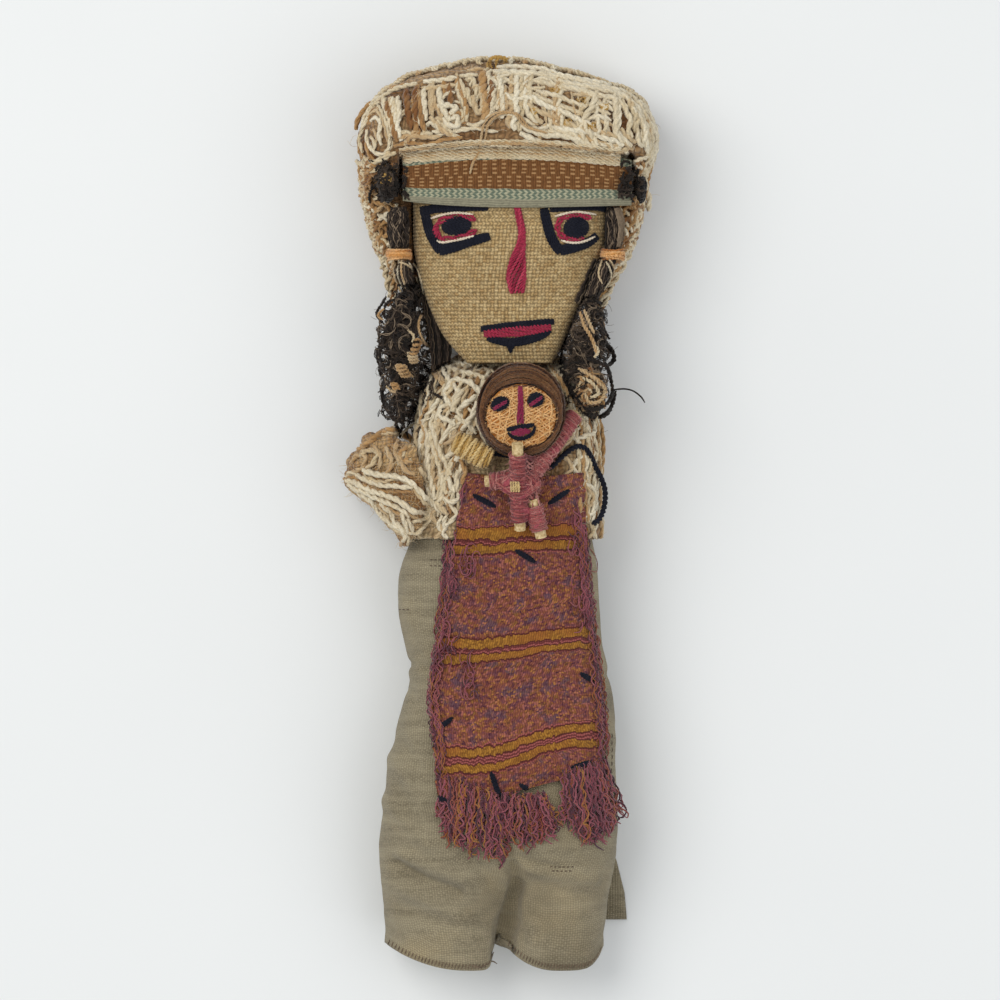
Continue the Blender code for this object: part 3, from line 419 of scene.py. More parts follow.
def knit_finish(name, dark, pale, loop=1.9):
    """Knitted or looped backing, seen between the yarns on it, with painted shade between its loops."""
    knit = Finish(name, sheen=0.2, specular=0.1)
    place = knit.place()
    apart = knit.nodes.new("ShaderNodeSeparateXYZ")
    knit.links.new(place, apart.inputs[0])
    wobble = knit.scaled(knit.noise(place, 130.0), 3.5)
    a, b = (knit.scaled(apart.outputs[n], 1 / (loop * MM), wobble) for n in (0, 1))
    height, _ = knit.threads(a, b)
    patches = knit.noise(place, 75.0, detail=4.0, roughness=0.65)
    base = knit.mix(knit.between(patches, 0.38, 0.66), dark, pale)
    # Painted shade: the colour darkens to 0.4 in the low places between the loops.
    knit.colour(knit.dim(base, knit.between(height, 0.05, 0.7), 0.4))
    knit.bump(height, 0.7)
    return knit.material


def plain_finish(name, dark, pale, size):
    """Close-wound thread on a solid that finer threads lie on."""
    finish = Finish(name, roughness=0.9, sheen=0.1, specular=0.12)
    grain = finish.noise(finish.place(), size, detail=4.0, roughness=0.65)
    finish.colour(finish.mix(finish.between(grain, 0.35, 0.65), dark, pale))
    finish.bump(grain, 0.3)
    return finish.material


def reed_finish():
    """Bare straw-coloured reed, with long fine grain."""
    reed = Finish("cut_reed", roughness=0.55, specular=0.35)
    grain = reed.noise(reed.place(), 900.0, detail=4.0)
    reed.colour(reed.mix(reed.between(grain, 0.35, 0.65), "a88a58", "dcc697"))
    reed.bump(grain, 0.12)
    return reed.material


# Surfaces
def linked(name, data):
    obj = bpy.data.objects.new(name, data)
    bpy.context.scene.collection.objects.link(obj)
    return obj


def baked(obj):
    """Puts what an object's modifiers make into its mesh, and removes them."""
    graph = bpy.context.evaluated_depsgraph_get()
    mesh = bpy.data.meshes.new_from_object(obj.evaluated_get(graph))
    obj.modifiers.clear()
    obj.data = mesh
    return obj


def joined(name, pieces):
    """One piece of several."""
    first = pieces[0]
    with bpy.context.temp_override(active_object=first, object=first, selected_objects=pieces,
                                   selected_editable_objects=pieces):
        bpy.ops.object.join()
    first.name = name
    first.data.name = name
    return first


def settled(piece, slot, *nodes):
    """Fixes a finished piece to the figure, in place of the solids it stands for."""
    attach(piece, "root")
    if nodes:
        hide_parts(*nodes)
    return piece


def tree_of(*objects):
    """A search tree over the faces of some objects."""
    verts, faces = [], []
    for obj in objects:
        start = len(verts)
        verts += [v.co.copy() for v in obj.data.vertices]
        faces += [tuple(start + i for i in face.vertices) for face in obj.data.polygons]
    return BVHTree.FromPolygons(verts, faces)


def struck(tree, start, run):
    """Where a ray first meets a surface, or None."""
    return tree.ray_cast(Vector(start), Vector(run))[0]


def skin_from(tree, middle, away, reach=0.03):
    """The outermost point of a surface in one direction from a middle, or None."""
    return struck(tree, middle + away * reach, -away)


def flanks(tree, y, z):
    """How far left and right a solid reaches at a place along it."""
    left = struck(tree, (-0.2, y, z), (1.0, 0.0, 0.0))
    right = struck(tree, (0.2, y, z), (-1.0, 0.0, 0.0))
    return left.x, right.x


def top(tree, x, y, miss=0.0):
    """Height of the first surface below a point in the air."""
    hit = struck(tree, (x, y, 0.3), (0.0, 0.0, -1.0))
    return miss if hit is None else hit.z


def lumps(points, size, seed=0.0):
    """Smooth noise from about -1 to 1 at some points, with hills of a size in millimetres."""
    scaled = np.asarray(points, float).reshape(-1, 3) / (size * MM) + seed
    return np.array([noise.noise(p) for p in scaled.tolist()]).reshape(np.shape(points)[:-1])


def soft_copy(name, node, voxel, finish, ease=6, rough=0.5, size=5.0, inset=0.0):
    """A fine, even copy of a solid, eased and made uneven as cloth is."""
    bm = bmesh.new()
    bm.from_mesh(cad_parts[node].data)
    bmesh.ops.remove_doubles(bm, verts=bm.verts, dist=1e-6)
    mesh = bpy.data.meshes.new(name)
    bm.to_mesh(mesh)
    bm.free()
    obj = linked(name, mesh)
    even = obj.modifiers.new("even", "REMESH")
    even.mode = "VOXEL"
    even.voxel_size = voxel * MM
    smooth = obj.modifiers.new("ease", "SMOOTH")
    smooth.factor = 0.5
    smooth.iterations = ease
    baked(obj)
    mesh = obj.data
    count = len(mesh.vertices)
    points = np.zeros(count * 3, np.float32)
    normals = np.zeros(count * 3, np.float32)
    mesh.vertices.foreach_get("co", points)
    mesh.vertex_normals.foreach_get("vector", normals)
    points = points.reshape(-1, 3)
    rise = lumps(points, size) + 0.5 * lumps(points, size / 2.3, 9.0)
    points = points + normals.reshape(-1, 3) * ((rise * rough - inset) * MM)[:, None]
    points[:, 2] = np.maximum(points[:, 2], 0.1 * MM)
    mesh.vertices.foreach_set("co", points.astype(np.float32).ravel())
    mesh.update()
    mesh.shade_smooth()
    mesh.materials.clear()
    mesh.materials.append(finish)
    return obj


def on_curve(a, b, c, d, t):
    """Points between b and c, at shares t, on a smooth curve through all four."""
    return 0.5 * (2 * b + (c - a) * t + (2 * a - 5 * b + 4 * c - d) * t**2 + (3 * b - a - 3 * c + d) * t**3)


def eased(grid, places):
    """Rows of a grid of points at fractional places, on smooth curves through its rows."""
    i = np.clip(np.floor(places).astype(int), 0, len(grid) - 2)
    t = (places - i)[:, None, None]
    before, after = grid[np.maximum(i - 1, 0)], grid[np.minimum(i + 2, len(grid) - 1)]
    return on_curve(before, grid[i], grid[i + 1], after, t)


def section(tree, y, x, z, sides):
    """A ring round a solid in the plane at y, from behind, by its right side, front and left side."""
    ring = []
    for n in range(sides):
        turn = math.tau * n / sides - math.pi / 2
        away = Vector((math.cos(turn), 0.0, math.sin(turn)))
        middle = Vector((x, y, z))
        hit = skin_from(tree, middle, away, 0.2)
        ring.append(tuple(middle if hit is None else hit))
    return ring


def wrapped(node, rows, around, height, behind=0.4, sides=72, spacing=4.0, ease=2):
    """An even skin round a solid: one ring of points for each place of rows along Y."""
    tree = tree_of(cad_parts[node])
    rows = np.asarray(rows, float) * MM
    count = max(4, int(abs(rows[0] - rows[-1]) / (spacing * MM)))
    places = np.linspace(rows[0], rows[-1], count)
    grid = []
    for y in places:
        grid.append(section(tree, y, sum(flanks(tree, y, height * MM)) / 2, height * MM, sides))
    grid = np.array(grid)
    for _ in range(ease):
        grid[:, :, 0::2] = ((np.roll(grid, 1, 1) + 2 * grid + np.roll(grid, -1, 1)) / 4)[:, :, 0::2]
        grid[1:-1, :, 0::2] = ((grid[:-2] + 2 * grid[1:-1] + grid[2:]) / 4)[:, :, 0::2]
    at = np.interp(-rows, -places, np.arange(count))
    grid = eased(grid, at)
    closed = np.concatenate([grid, grid[:, :1]], axis=1).transpose(1, 0, 2)
    closed = eased(closed, np.linspace(0, sides, 4 * sides + 1)).transpose(1, 0, 2)
    turn = math.tau * np.linspace(0, 1, 4 * sides + 1)[1:] - math.pi / 2
    weight = np.where(np.sin(turn) > -0.35, 1.0, behind)
    skin = []
    for ring in closed:
        run = np.concatenate([[0.0], np.cumsum(np.linalg.norm(np.diff(ring, axis=0), axis=1) * weight)])
        even = np.linspace(0, run[-1], around + 1)[:-1]
        skin.append(np.column_stack([np.interp(even, run, ring[:, k]) for k in range(3)]))
    return np.array(skin)


def grid_normals(grid):
    down = np.gradient(grid, axis=0)
    girth = np.roll(grid, -1, 1) - np.roll(grid, 1, 1)
    normal = np.cross(girth, down)
    return normal / np.maximum(np.linalg.norm(normal, axis=2, keepdims=True), 1e-12)


def cloth_map(grid):
    """Lengths across and along a closed skin, in millimetres, from the middle of its front."""
    step = np.linalg.norm(np.roll(grid, -1, 1) - grid, axis=2)
    across = np.concatenate([np.zeros((len(grid), 1)), np.cumsum(step, axis=1)], axis=1)
    across = across - across[:, -1:] / 2
    along = np.cumsum(np.concatenate([[0.0], np.linalg.norm(np.diff(grid.mean(axis=1), axis=0), axis=1)]))
    return across / MM, along / MM


def woven(name, verts, faces, where, finish):
    """A closed piece of cloth. where holds each corner of each face on the cloth's own map."""
    mesh = bpy.data.meshes.new(name)
    mesh.from_pydata(verts, [], faces)
    uv = mesh.uv_layers.new(name="cloth")
    uv.data.foreach_set("uv", np.array(where, np.float32).ravel())
    bm = bmesh.new()
    bm.from_mesh(mesh)
    bmesh.ops.recalc_face_normals(bm, faces=bm.faces)
    bm.to_mesh(mesh)
    bm.free()
    mesh.shade_smooth()
    mesh.materials.append(finish)
    return linked(name, mesh)


def skinned(name, grid, finish, caps=(0.75, 0.4)):
    """A closed mesh of a skin, with its ends filled and the cloth's own map."""
    around = grid.shape[1]
    across, along = cloth_map(grid)
    rings = [grid]
    for end in (0, -1):
        middle = grid[end].mean(axis=0)
        shut = [middle + (grid[end] - middle) * share for share in caps]
        rings = [np.array(shut[::-1]), *rings] if end == 0 else [*rings, np.array(shut)]
    full = np.concatenate(rings)
    extra = len(caps)
    across = np.concatenate([across[:1]] * extra + [across] + [across[-1:]] * extra)
    along = np.concatenate([along[:1]] * extra + [along] + [along[-1:]] * extra)
    rows = len(full)
    verts = full.reshape(-1, 3).tolist()
    faces, where = [], []
    for r in range(rows - 1):
        for c in range(around):
            d = (c + 1) % around
            faces.append((r * around + c, r * around + d, (r + 1) * around + d, (r + 1) * around + c))
            where += [(across[r, c], along[r]), (across[r, c + 1], along[r]),
                      (across[r + 1, c + 1], along[r + 1]), (across[r + 1, c], along[r + 1])]
    for r in (0, rows - 1):
        pole = len(verts)
        verts.append(full[r].mean(axis=0).tolist())
        for c in range(around):
            ends = (r * around + c, r * around + (c + 1) % around)
            faces.append((pole, *(ends if r else ends[::-1])))
            where += [(0.0, along[r])] * 3
    return woven(name, verts, faces, where, finish)


def on_skin(grid, normals, row, column, lift):
    """A point on a skin at shares of its length and girth, lifted off it by millimetres."""
    rows, around = grid.shape[:2]
    r = min(max(row, 0.0), 1.0) * (rows - 1)
    c = (column % 1.0) * around
    r0, c0 = int(r), int(c) % around
    r1, c1 = min(r0 + 1, rows - 1), (c0 + 1) % around
    fr, fc = r - r0, c - int(c)
    found = []
    for field in (grid, normals):
        upper = field[r0, c0] * (1 - fc) + field[r0, c1] * fc
        lower = field[r1, c0] * (1 - fc) + field[r1, c1] * fc
        found.append(upper * (1 - fr) + lower * fr)
    point = found[0] + found[1] * lift * MM
    point[2] = max(point[2], FLOOR_GAP)
    return point


# Yarns
def curve_through(points, step, closed=False):
    """Points a step apart on a smooth curve through some points."""
    given = np.asarray(points, float)
    ends = (given[-1:], given[:2]) if closed else (given[:1], given[-1:])
    full = np.vstack([ends[0], given, ends[1]])
    runs = []
    for a, b, c, d in zip(full, full[1:], full[2:], full[3:]):
        count = max(2, int(np.linalg.norm((c - b)[:3]) / step * 1.5) + 1)
        t = np.arange(count)[:, None] / count
        runs.append(on_curve(a, b, c, d, t))
    fine = np.vstack([*runs, full[-2]])
    run = np.concatenate([[0.0], np.cumsum(np.linalg.norm(np.diff(fine[:, :3], axis=0), axis=1))])
    even = np.linspace(0.0, run[-1], max(3, int(run[-1] / step) + 1))
    return np.column_stack([np.interp(even, run, fine[:, k]) for k in range(fine.shape[1])])


def laid(pixels, tree, lift, step=0.8, closed=False, least=0.0, bridge=0.0):
    """A yarn's path through pixels of the photograph, lift above what carries it.

    A third number of a pixel lifts it more, and bridge lets it span gaps as wide as that.
    """
    plan = [(*spot(p[0], p[1]), (p[2] if len(p) > 2 else 0.0) * MM) for p in pixels]
    line = curve_through(plan, step * MM, closed)
    rest = np.array([top(tree, x, y, least * MM) for x, y, _ in line])
    if bridge:
        sides = [[top(tree, x, y + side * bridge * MM, least * MM) for side in (-1, 1)] for x, y, _ in line]
        rest = np.maximum(rest, np.min(sides, axis=1))
    wide = np.pad(rest, 2, mode="edge")
    bridged = (wide[:-4] + 2 * wide[1:-3] + 3 * wide[2:-2] + 2 * wide[3:-1] + wide[4:]) / 9
    line[:, 2] = np.maximum(line[:, 2] + np.maximum(rest, bridged) + lift * MM, FLOOR_GAP)
    return line


def bundle(route, width, count, braid=0.0, rise=0.3):
    """Routes of yarns side by side along one of pixels. width changes along it, and braid crosses them."""
    line = curve_through([(x, y, 0.0) for x, y in route], 2.0)
    run = np.gradient(line[:, :2], axis=0)
    lengths = np.maximum(np.linalg.norm(run, axis=1), 1e-9)
    normal = np.column_stack([-run[:, 1], run[:, 0]]) / lengths[:, None]
    share = np.linspace(0.0, 1.0, len(line))
    widths = np.interp(share, np.linspace(0.0, 1.0, len(width)), width)
    found = []
    for k in range(count):
        if braid:
            turn = math.tau * (share * braid + k / count)
            offset, up = np.sin(turn), rise * np.cos(turn)
        else:
            offset, up = np.full(len(line), (2 * k + 1) / count - 1), np.zeros(len(line))
        found.append(np.column_stack([line[:, :2] + normal * (offset * widths / 2)[:, None], up]))
    return found


def traced(yarns, tree, lift, dice, least=0.0):
    """Paths, tones and sizes of yarns that are given by their thickness in pixels, tone and route."""
    paths, tones, sizes = [], [], []
    for thick, tone, route in yarns:
        high = lift + 0.08 * thick + dice.uniform(0.0, 0.5)
        points = [(x, y, dice.uniform(-0.4, 0.4)) for x, y in route]
        paths.append(laid(points, tree, high, least=least))
        tones.append(tone + dice.uniform(-0.1, 0.05))
        sizes.append(thick / 7)
    return paths, tones, sizes


def fuzz(paths, count, reach, dice):
    """Short fine fibres that stand off some yarns, reach in millimetres."""
    found = []
    for _ in range(count):
        path = paths[dice.integers(len(paths))]
        start = path[dice.integers(len(path))]
        turn = dice.uniform(0, math.tau)
        away = np.array([math.cos(turn), math.sin(turn), dice.uniform(-0.1, 0.7)])
        away = away * reach * dice.uniform(0.4, 1.0) * MM
        bend = np.array([-away[1], away[0], 0.0]) * dice.uniform(-0.8, 0.8)
        fibre = np.array([start, start + 0.6 * away, start + away + bend])
        fibre[:, 2] = np.maximum(fibre[:, 2], 0.3 * MM)
        found.append(curve_through(fibre, 0.9 * MM))
    return found


def fuzzy(paths, count, reach, finish, tone, dice, radius=0.07, step=0.9):
    """Such fibres as a piece."""
    fibres = fuzz(paths, count, reach, dice)
    return spin("fuzz", fibres, finish, radius, plies=1, step=step, sides=3, tones=[tone] * count)


def satin(middle, wide, tall, degrees, gap):
    """Parallel stitches that fill an oval, in pixels."""
    middle, turn = np.array(middle), math.radians(degrees)
    run, side = np.array([math.cos(turn), math.sin(turn)]), np.array([-math.sin(turn), math.cos(turn)])
    found = []
    for offset in np.arange(-tall / 2 + gap / 2, tall / 2, gap):
        half = wide / 2 * math.sqrt(max(0.0, 1 - (2 * offset / tall) ** 2))
        start, end = middle + side * offset - run * half, middle + side * offset + run * half
        found.append([(*start, 0.0), (*((start + end) / 2), 0.25), (*end, 0.0)])
    return found


def plied_yarn_tree():
    """Geometry nodes that spin yarn: each path becomes plies that wind round it, each ply a thin tube."""
    tree = bpy.data.node_groups.new("plied_yarn", "GeometryNodeTree")
    face = tree.interface
    face.new_socket("Paths", in_out="INPUT", socket_type="NodeSocketGeometry")
    for name, kind in (("Ply radius", "Float"), ("Spread", "Float"), ("Plies", "Int"), ("Pitch", "Float"),
                       ("Step", "Float"), ("Sides", "Int"), ("Wander", "Float"), ("Finish", "Material")):
        face.new_socket(name, in_out="INPUT", socket_type="NodeSocket" + kind)
    face.new_socket("Yarn", in_out="OUTPUT", socket_type="NodeSocketGeometry")
    nodes, links = tree.nodes, tree.links
    given = nodes.new("NodeGroupInput").outputs

    def add(kind, **fed):
        node = nodes.new(kind)
        for key, value in fed.items():
            socket = node.inputs[int(key[1:])]
            if isinstance(value, bpy.types.NodeSocket):
                links.new(value, socket)
            else:
                socket.default_value = value
        return node

    def maths(operation, a, b=0.0):
        node = add("ShaderNodeMath", i0=a, i1=b)
        node.operation = operation
        return node.outputs[0]

    def vectors(operation, a, b=None, scale=None):
        node = nodes.new("ShaderNodeVectorMath")
        node.operation = operation
        links.new(a, node.inputs[0])
        if b is not None:
            links.new(b, node.inputs[1])
        if scale is not None:
            links.new(scale, node.inputs["Scale"])
        return node.outputs[0]

    curves = add("GeometryNodeMeshToCurve", i0=given["Paths"])
    even = add("GeometryNodeResampleCurve", i0=curves.outputs[0], i3=given["Step"])
    even.mode = "LENGTH"
    copies = add("GeometryNodeDuplicateElements", i0=even.outputs[0], i2=given["Plies"])
    copies.domain = "SPLINE"
    length = nodes.new("GeometryNodeSplineParameter").outputs["Length"]
    thick = add("GeometryNodeInputNamedAttribute", i0="thick").outputs[0]
    spread = maths("MULTIPLY", thick, given["Spread"])
    turned = maths("DIVIDE", length, given["Pitch"])
    turns = maths("ADD", turned, maths("DIVIDE", copies.outputs[1], given["Plies"]))
    angle = maths("MULTIPLY", turns, math.tau)
    normal = nodes.new("GeometryNodeInputNormal").outputs[0]
    tangent = nodes.new("GeometryNodeInputTangent").outputs[0]
    side = vectors("SCALE", normal, scale=maths("MULTIPLY", maths("COSINE", angle), spread))
    other = vectors("CROSS_PRODUCT", tangent, normal)
    up = vectors("SCALE", other, scale=maths("MULTIPLY", maths("SINE", angle), spread))
    where = nodes.new("GeometryNodeInputPosition").outputs[0]
    drift = add("ShaderNodeTexNoise", i0=where, i2=160.0)
    centred = nodes.new("ShaderNodeVectorMath")
    centred.operation = "SUBTRACT"
    links.new(drift.outputs["Color"], centred.inputs[0])
    centred.inputs[1].default_value = (0.5, 0.5, 0.5)
    drifted = vectors("SCALE", centred.outputs[0], scale=given["Wander"])
    offset = vectors("ADD", vectors("ADD", side, up), drifted)
    wound = add("GeometryNodeSetPosition", i0=copies.outputs[0], i3=offset)
    kept = add("GeometryNodeStoreNamedAttribute", i0=wound.outputs[0], i2="along", i3=turns)
    kept.data_type = "FLOAT"
    ring = add("GeometryNodeCurvePrimitiveCircle", i0=given["Sides"], i4=given["Ply radius"])
    tubes = add("GeometryNodeCurveToMesh", i0=kept.outputs[0], i1=ring.outputs[0], i2=thick, i3=True)
    smooth = add("GeometryNodeSetShadeSmooth", i0=tubes.outputs[0])
    real = add("GeometryNodeRealizeInstances", i0=smooth.outputs[0])
    finished = add("GeometryNodeSetMaterial", i0=real.outputs[0], i2=given["Finish"])
    out = nodes.new("NodeGroupOutput")
    links.new(finished.outputs[0], out.inputs[0])
    return tree


YARN_TREE = plied_yarn_tree()


def with_nodes(name, mesh, tree, values):
    """A plain mesh of what a node tree makes from one, with its inputs set by their identifiers."""
    obj = linked(name, mesh)
    modifier = obj.modifiers.new("maker", "NODES")
    modifier.node_group = tree
    for item in tree.interface.items_tree:
        if item.in_out == "INPUT" and item.name in values:
            modifier[item.identifier] = values[item.name]
    return baked(obj)


def spin(name, paths, finish, radius, plies=2, pitch=3.2, step=0.65, sides=4, wander=0.15, spread=None,
         tones=None, sizes=None):
    """Yarns along paths. radius is one ply's, pitch a turn's length, and tones the place in its colours."""
    counts = [len(path) for path in paths]
    starts = np.cumsum([0, *counts[:-1]])
    edges = [(s + i, s + i + 1) for s, n in zip(starts.tolist(), counts) for i in range(n - 1)]
    mesh = bpy.data.meshes.new(name)
    mesh.from_pydata(np.vstack(paths)[:, :3].tolist(), edges, [])
    tones = [0.5] * len(paths) if tones is None else tones
    sizes = [1.0] * len(paths) if sizes is None else sizes
    thick = []
    for n, size in zip(counts, sizes):
        i = np.arange(n)
        thick.append(size * np.minimum(1.0, 0.6 + 0.2 * np.minimum(i, n - 1 - i)))
    for key, values in (("tone", np.repeat(tones, counts)), ("thick", np.concatenate(thick))):
        mesh.attributes.new(key, "FLOAT", "POINT").data.foreach_set("value", values.astype(np.float32))
    if spread is None:
        spread = radius if plies > 1 else 0.0
    return with_nodes(name, mesh, YARN_TREE, {
        "Ply radius": radius * MM,
        "Spread": spread * MM,
        "Plies": plies,
        "Pitch": pitch * MM,
        "Step": step * MM,
        "Sides": sides,
        "Wander": wander * MM,
        "Finish": finish,
    })


# Shared finishes: the colours of each yarn from its darkest tone to its palest
cream_yarn = yarn_finish("cream_yarn", "7c512c b8905e d3c09b e9dec4", mottle=0.7)
dark_yarn = yarn_finish("dark_yarn", "14151c 1d1f2a 2a2b33", sheen=0.08, specular=0.08)
red_yarn = yarn_finish("crimson_yarn", "7e1f33 a52c47 c2455c", sheen=0.15)
white_thread = yarn_finish("white_thread", "cfa98a e6d6bd f2eadb")
hair_fibre = yarn_finish("hair_fibre", "1d1814 352b24 5a4b3e 8f7c66", sheen=0.05, specular=0.25)
orange_thread = yarn_finish("orange_thread", "a8662c d29450 e8b880")
tapestry_yarn = yarn_finish("tapestry_yarn", "4c2a36 7d3f4a 9c5660 8e4a2c ad7838")
pink_yarn = yarn_finish("pink_yarn", "7e383c b05e5a d0948a")
brown_thread = yarn_finish("brown_thread", "3c2010 6c462a 98704a", mottle=0.3)
face_thread = yarn_finish("infant_face_thread", "ac7030 d0934c ecbd80")
magenta_thread = yarn_finish("magenta_thread", "6e1a3a 8f2348 a83258")
tan_yarn = yarn_finish("tan_yarn", "8f6a34 bd9650 dcc088")


# The large figure's body
HEM_Y, HEM_DROP = -155.0, 9.4
# The front hem's two lobes: left edge, lowest place, right edge, and how sharply each side turns up
HEM_LOBES = ((-41.8, -10.8, -1.1, 2.2, 6.0), (1.8, 22.7, 37.8, 2.6, 5.0))
HEM_RUN = 14.0  # length of cloth above the hem that hangs in lobes
HEM_CLOTH = 1.5
CREASES = (  # x and y of both ends, half width, depth
    (3.0, -117.0, 5.0, -127.0, 1.8, -1.8), (5.0, -127.0, 6.0, -134.0, 2.2, -3.4),
    (6.0, -134.0, 3.4, -146.0, 2.4, -5.0), (3.4, -146.0, 0.4, -160.0, 2.6, -6.2),
    (-38.0, -126.0, -28.0, -131.5, 1.9, -3.4), (-28.0, -131.5, -15.0, -136.5, 2.0, -2.8),
    (-36.0, -122.5, -14.0, -131.0, 2.4, 1.3), (-35.0, -54.0, -24.0, -55.5, 1.6, -1.3),
    (-25.0, -106.0, -13.0, -122.0, 2.8, -1.8), (-13.0, -122.0, 2.0, -137.0, 3.0, -2.6),
    (6.5, -123.5, 20.5, -127.5, 1.6, -1.4), (-34.0, -61.0, -28.0, -72.0, 2.4, -0.8),
    (-36.0, -82.0, -30.0, -90.0, 2.4, -1.1), (39.0, -58.0, 34.0, -66.0, 1.8, -0.8),
    (-12.0, -143.0, 0.0, -150.0, 2.0, -1.2), (-40.0, -104.0, -26.0, -118.0, 3.2, 1.6),
    (-37.0, -98.0, -30.0, -112.0, 3.0, -1.2), (12.0, -128.0, 34.0, -131.0, 2.4, 1.4),
    (14.0, -134.0, 36.0, -138.0, 2.6, -1.0), (-39.0, -88.0, -33.0, -96.0, 2.6, 0.9),
    (8.0, -140.0, 12.0, -154.0, 2.2, 0.8), (-36.0, -141.0, -8.0, -151.0, 3.0, -1.2),
    (-38.0, -133.0, -14.0, -146.0, 3.0, 1.5),
)


def hem_shift(x):
    """How far the front hem hangs below the back one, in two lobes."""
    drop = 0.0
    for left, lowest, right, left_turn, right_turn in HEM_LOBES:
        if x < lowest:
            away, turn = (lowest - x) / (lowest - left), left_turn
        else:
            away, turn = (x - lowest) / (right - lowest), right_turn
        drop = max(drop, 1 - min(1.0, away) ** turn)
    return -HEM_DROP * drop


def crease_depth(grid):
    """What the creases take from or add to a skin's front, in millimetres."""
    x, y = grid[:, :, 0] / MM, grid[:, :, 1] / MM
    ridge, valley = np.zeros(x.shape), np.zeros(x.shape)
    for x0, y0, x1, y1, half, depth in CREASES:
        run = np.array([x1 - x0, y1 - y0])
        share = np.clip(((x - x0) * run[0] + (y - y0) * run[1]) / (run @ run), 0.0, 1.0)
        away = np.hypot(x - x0 - share * run[0], y - y0 - share * run[1])
        fold = depth * np.exp(-((away / half) ** 2))
        ridge, valley = np.maximum(ridge, fold), np.minimum(valley, fold)
    return (ridge + valley) * (grid[:, :, 2] > 10 * MM)


def make_tunic():
    """The stuffed skirt and torso in fine cloth, its hem hollow a little way in."""
    rows = np.concatenate([np.linspace(46.0, -8.0, 30), np.linspace(-9.0, -151.0, 158)])
    around = 230
    grid = wrapped("tunic", rows, around, 15.0, spacing=5.0)
    last = np.repeat(grid[-1:], 6, 0)
    last[:, :, 1] += np.linspace(-0.7, HEM_Y - rows[-1], 6)[:, None] * MM
    grid = np.concatenate([grid, last])
    front = np.clip((grid[-1, :, 2] / MM - 9.0) / 10.0, 0.0, 1.0)
    shift = np.array([hem_shift(x / MM) for x in grid[-1, :, 0]]) * front + 3.0 * (front == 0)
    near = np.clip((HEM_Y + HEM_RUN - grid[:, :, 1] / MM) / HEM_RUN, 0.0, 1.0)
    grid[:, :, 1] += near * near * (3 - 2 * near) * shift[None] * MM
    normals = grid_normals(grid)
    rise = lumps(grid, 16.0) * 0.8 + lumps(grid, 6.0, 5.0) * 0.22
    rise += lumps(grid * (1.0, 0.35, 1.0), 2.6, 2.0) * 0.1
    grid = grid + normals * ((crease_depth(grid) + rise) * MM)[:, :, None]
    grid[:, :, 2] = np.maximum(grid[:, :, 2], 1.9 * MM)
    middle = grid[-1].mean(axis=0)
    lip = []
    for inset, depth in ((0.7, -0.15), (HEM_CLOTH, 0.4), (HEM_CLOTH + 0.6, 3.4)):
        ring = grid[-1].copy()
        inward = middle - ring
        inward[:, 1] = 0.0
        ring += inward / np.linalg.norm(inward, axis=1, keepdims=True) * inset * MM
        ring[:, 1] += depth * MM
        lip.append(ring)
    grid = np.concatenate([grid, np.array(lip)])
    tunic = skinned("tunic_cloth", grid, tunic_finish())
    settled(tunic, "tunic_cloth", "tunic")
    return tunic


def make_back_panel():
    """The tunic's rear cloth, flat under the figure, with one free corner at the lower right."""
    tree = tree_of(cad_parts["tunic_back_panel"])
    low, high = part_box("tunic_back_panel")
    count_along, count_across = 130, 40
    verts, faces, where = [], [], []
    for i in range(count_along):
        y = high.y - 0.6 * MM + (low.y - high.y + 2.4 * MM) * i / (count_along - 1)
        left, right = flanks(tree, y, 0.8 * MM)
        for j in range(count_across):
            x = left + (right - left) * j / (count_across - 1)
            ripple = 0.3 * noise.noise((x / (5 * MM), y / (5 * MM), 0.0))
            verts.append((x, y, (1.0 + ripple) * MM))
            where.append((x / MM, y / MM))
    for i in range(count_along - 1):
        for j in range(count_across - 1):
            a = i * count_across + j
            faces.append((a, a + count_across, a + count_across + 1, a + 1))
    mesh = bpy.data.meshes.new("tunic_back_cloth")
    mesh.from_pydata(verts, [], faces)
    uv = mesh.uv_layers.new(name="cloth")
    uv.data.foreach_set("uv", np.array([where[i] for f in faces for i in f], np.float32).ravel())
    mesh.materials.append(tunic_finish())
    cloth = linked("tunic_back_cloth", mesh)
    wall = cloth.modifiers.new("cloth", "SOLIDIFY")
    wall.thickness = 0.9 * MM
    wall.offset = 0.0
    baked(cloth)
    cloth.data.shade_smooth()
    settled(cloth, "tunic_cloth", "tunic_back_panel")
    return cloth


FACE_THREAD = 1.35
CHIN_ROWS = np.linspace(112.5, 54.6, 176)


def make_head():
    """The stuffed head in coarse cloth, whose weave stands in the mesh."""
    rows = np.concatenate([np.linspace(130.6, 113.0, 18), CHIN_ROWS])
    grid = wrapped("head", rows, 220, 34.0, behind=0.22, spacing=4.5)
    normals = grid_normals(grid)
    across, along = cloth_map(grid)
    a = np.sin(math.pi * across[:, :-1] / FACE_THREAD)
    b = np.sin(math.pi * along[:, None] / FACE_THREAD)
    over = 0.5 + 0.5 * a * b
    weave = np.maximum(np.abs(a) * over, np.abs(b) * (1 - over))
    swell = lumps(grid, 14.0) * 0.45
    grid = grid + normals * ((0.42 * weave + swell - 0.2) * MM)[:, :, None]
    head = skinned("face_cloth", grid, face_finish(FACE_THREAD))
    settled(head, "face_cloth", "head")
    return head


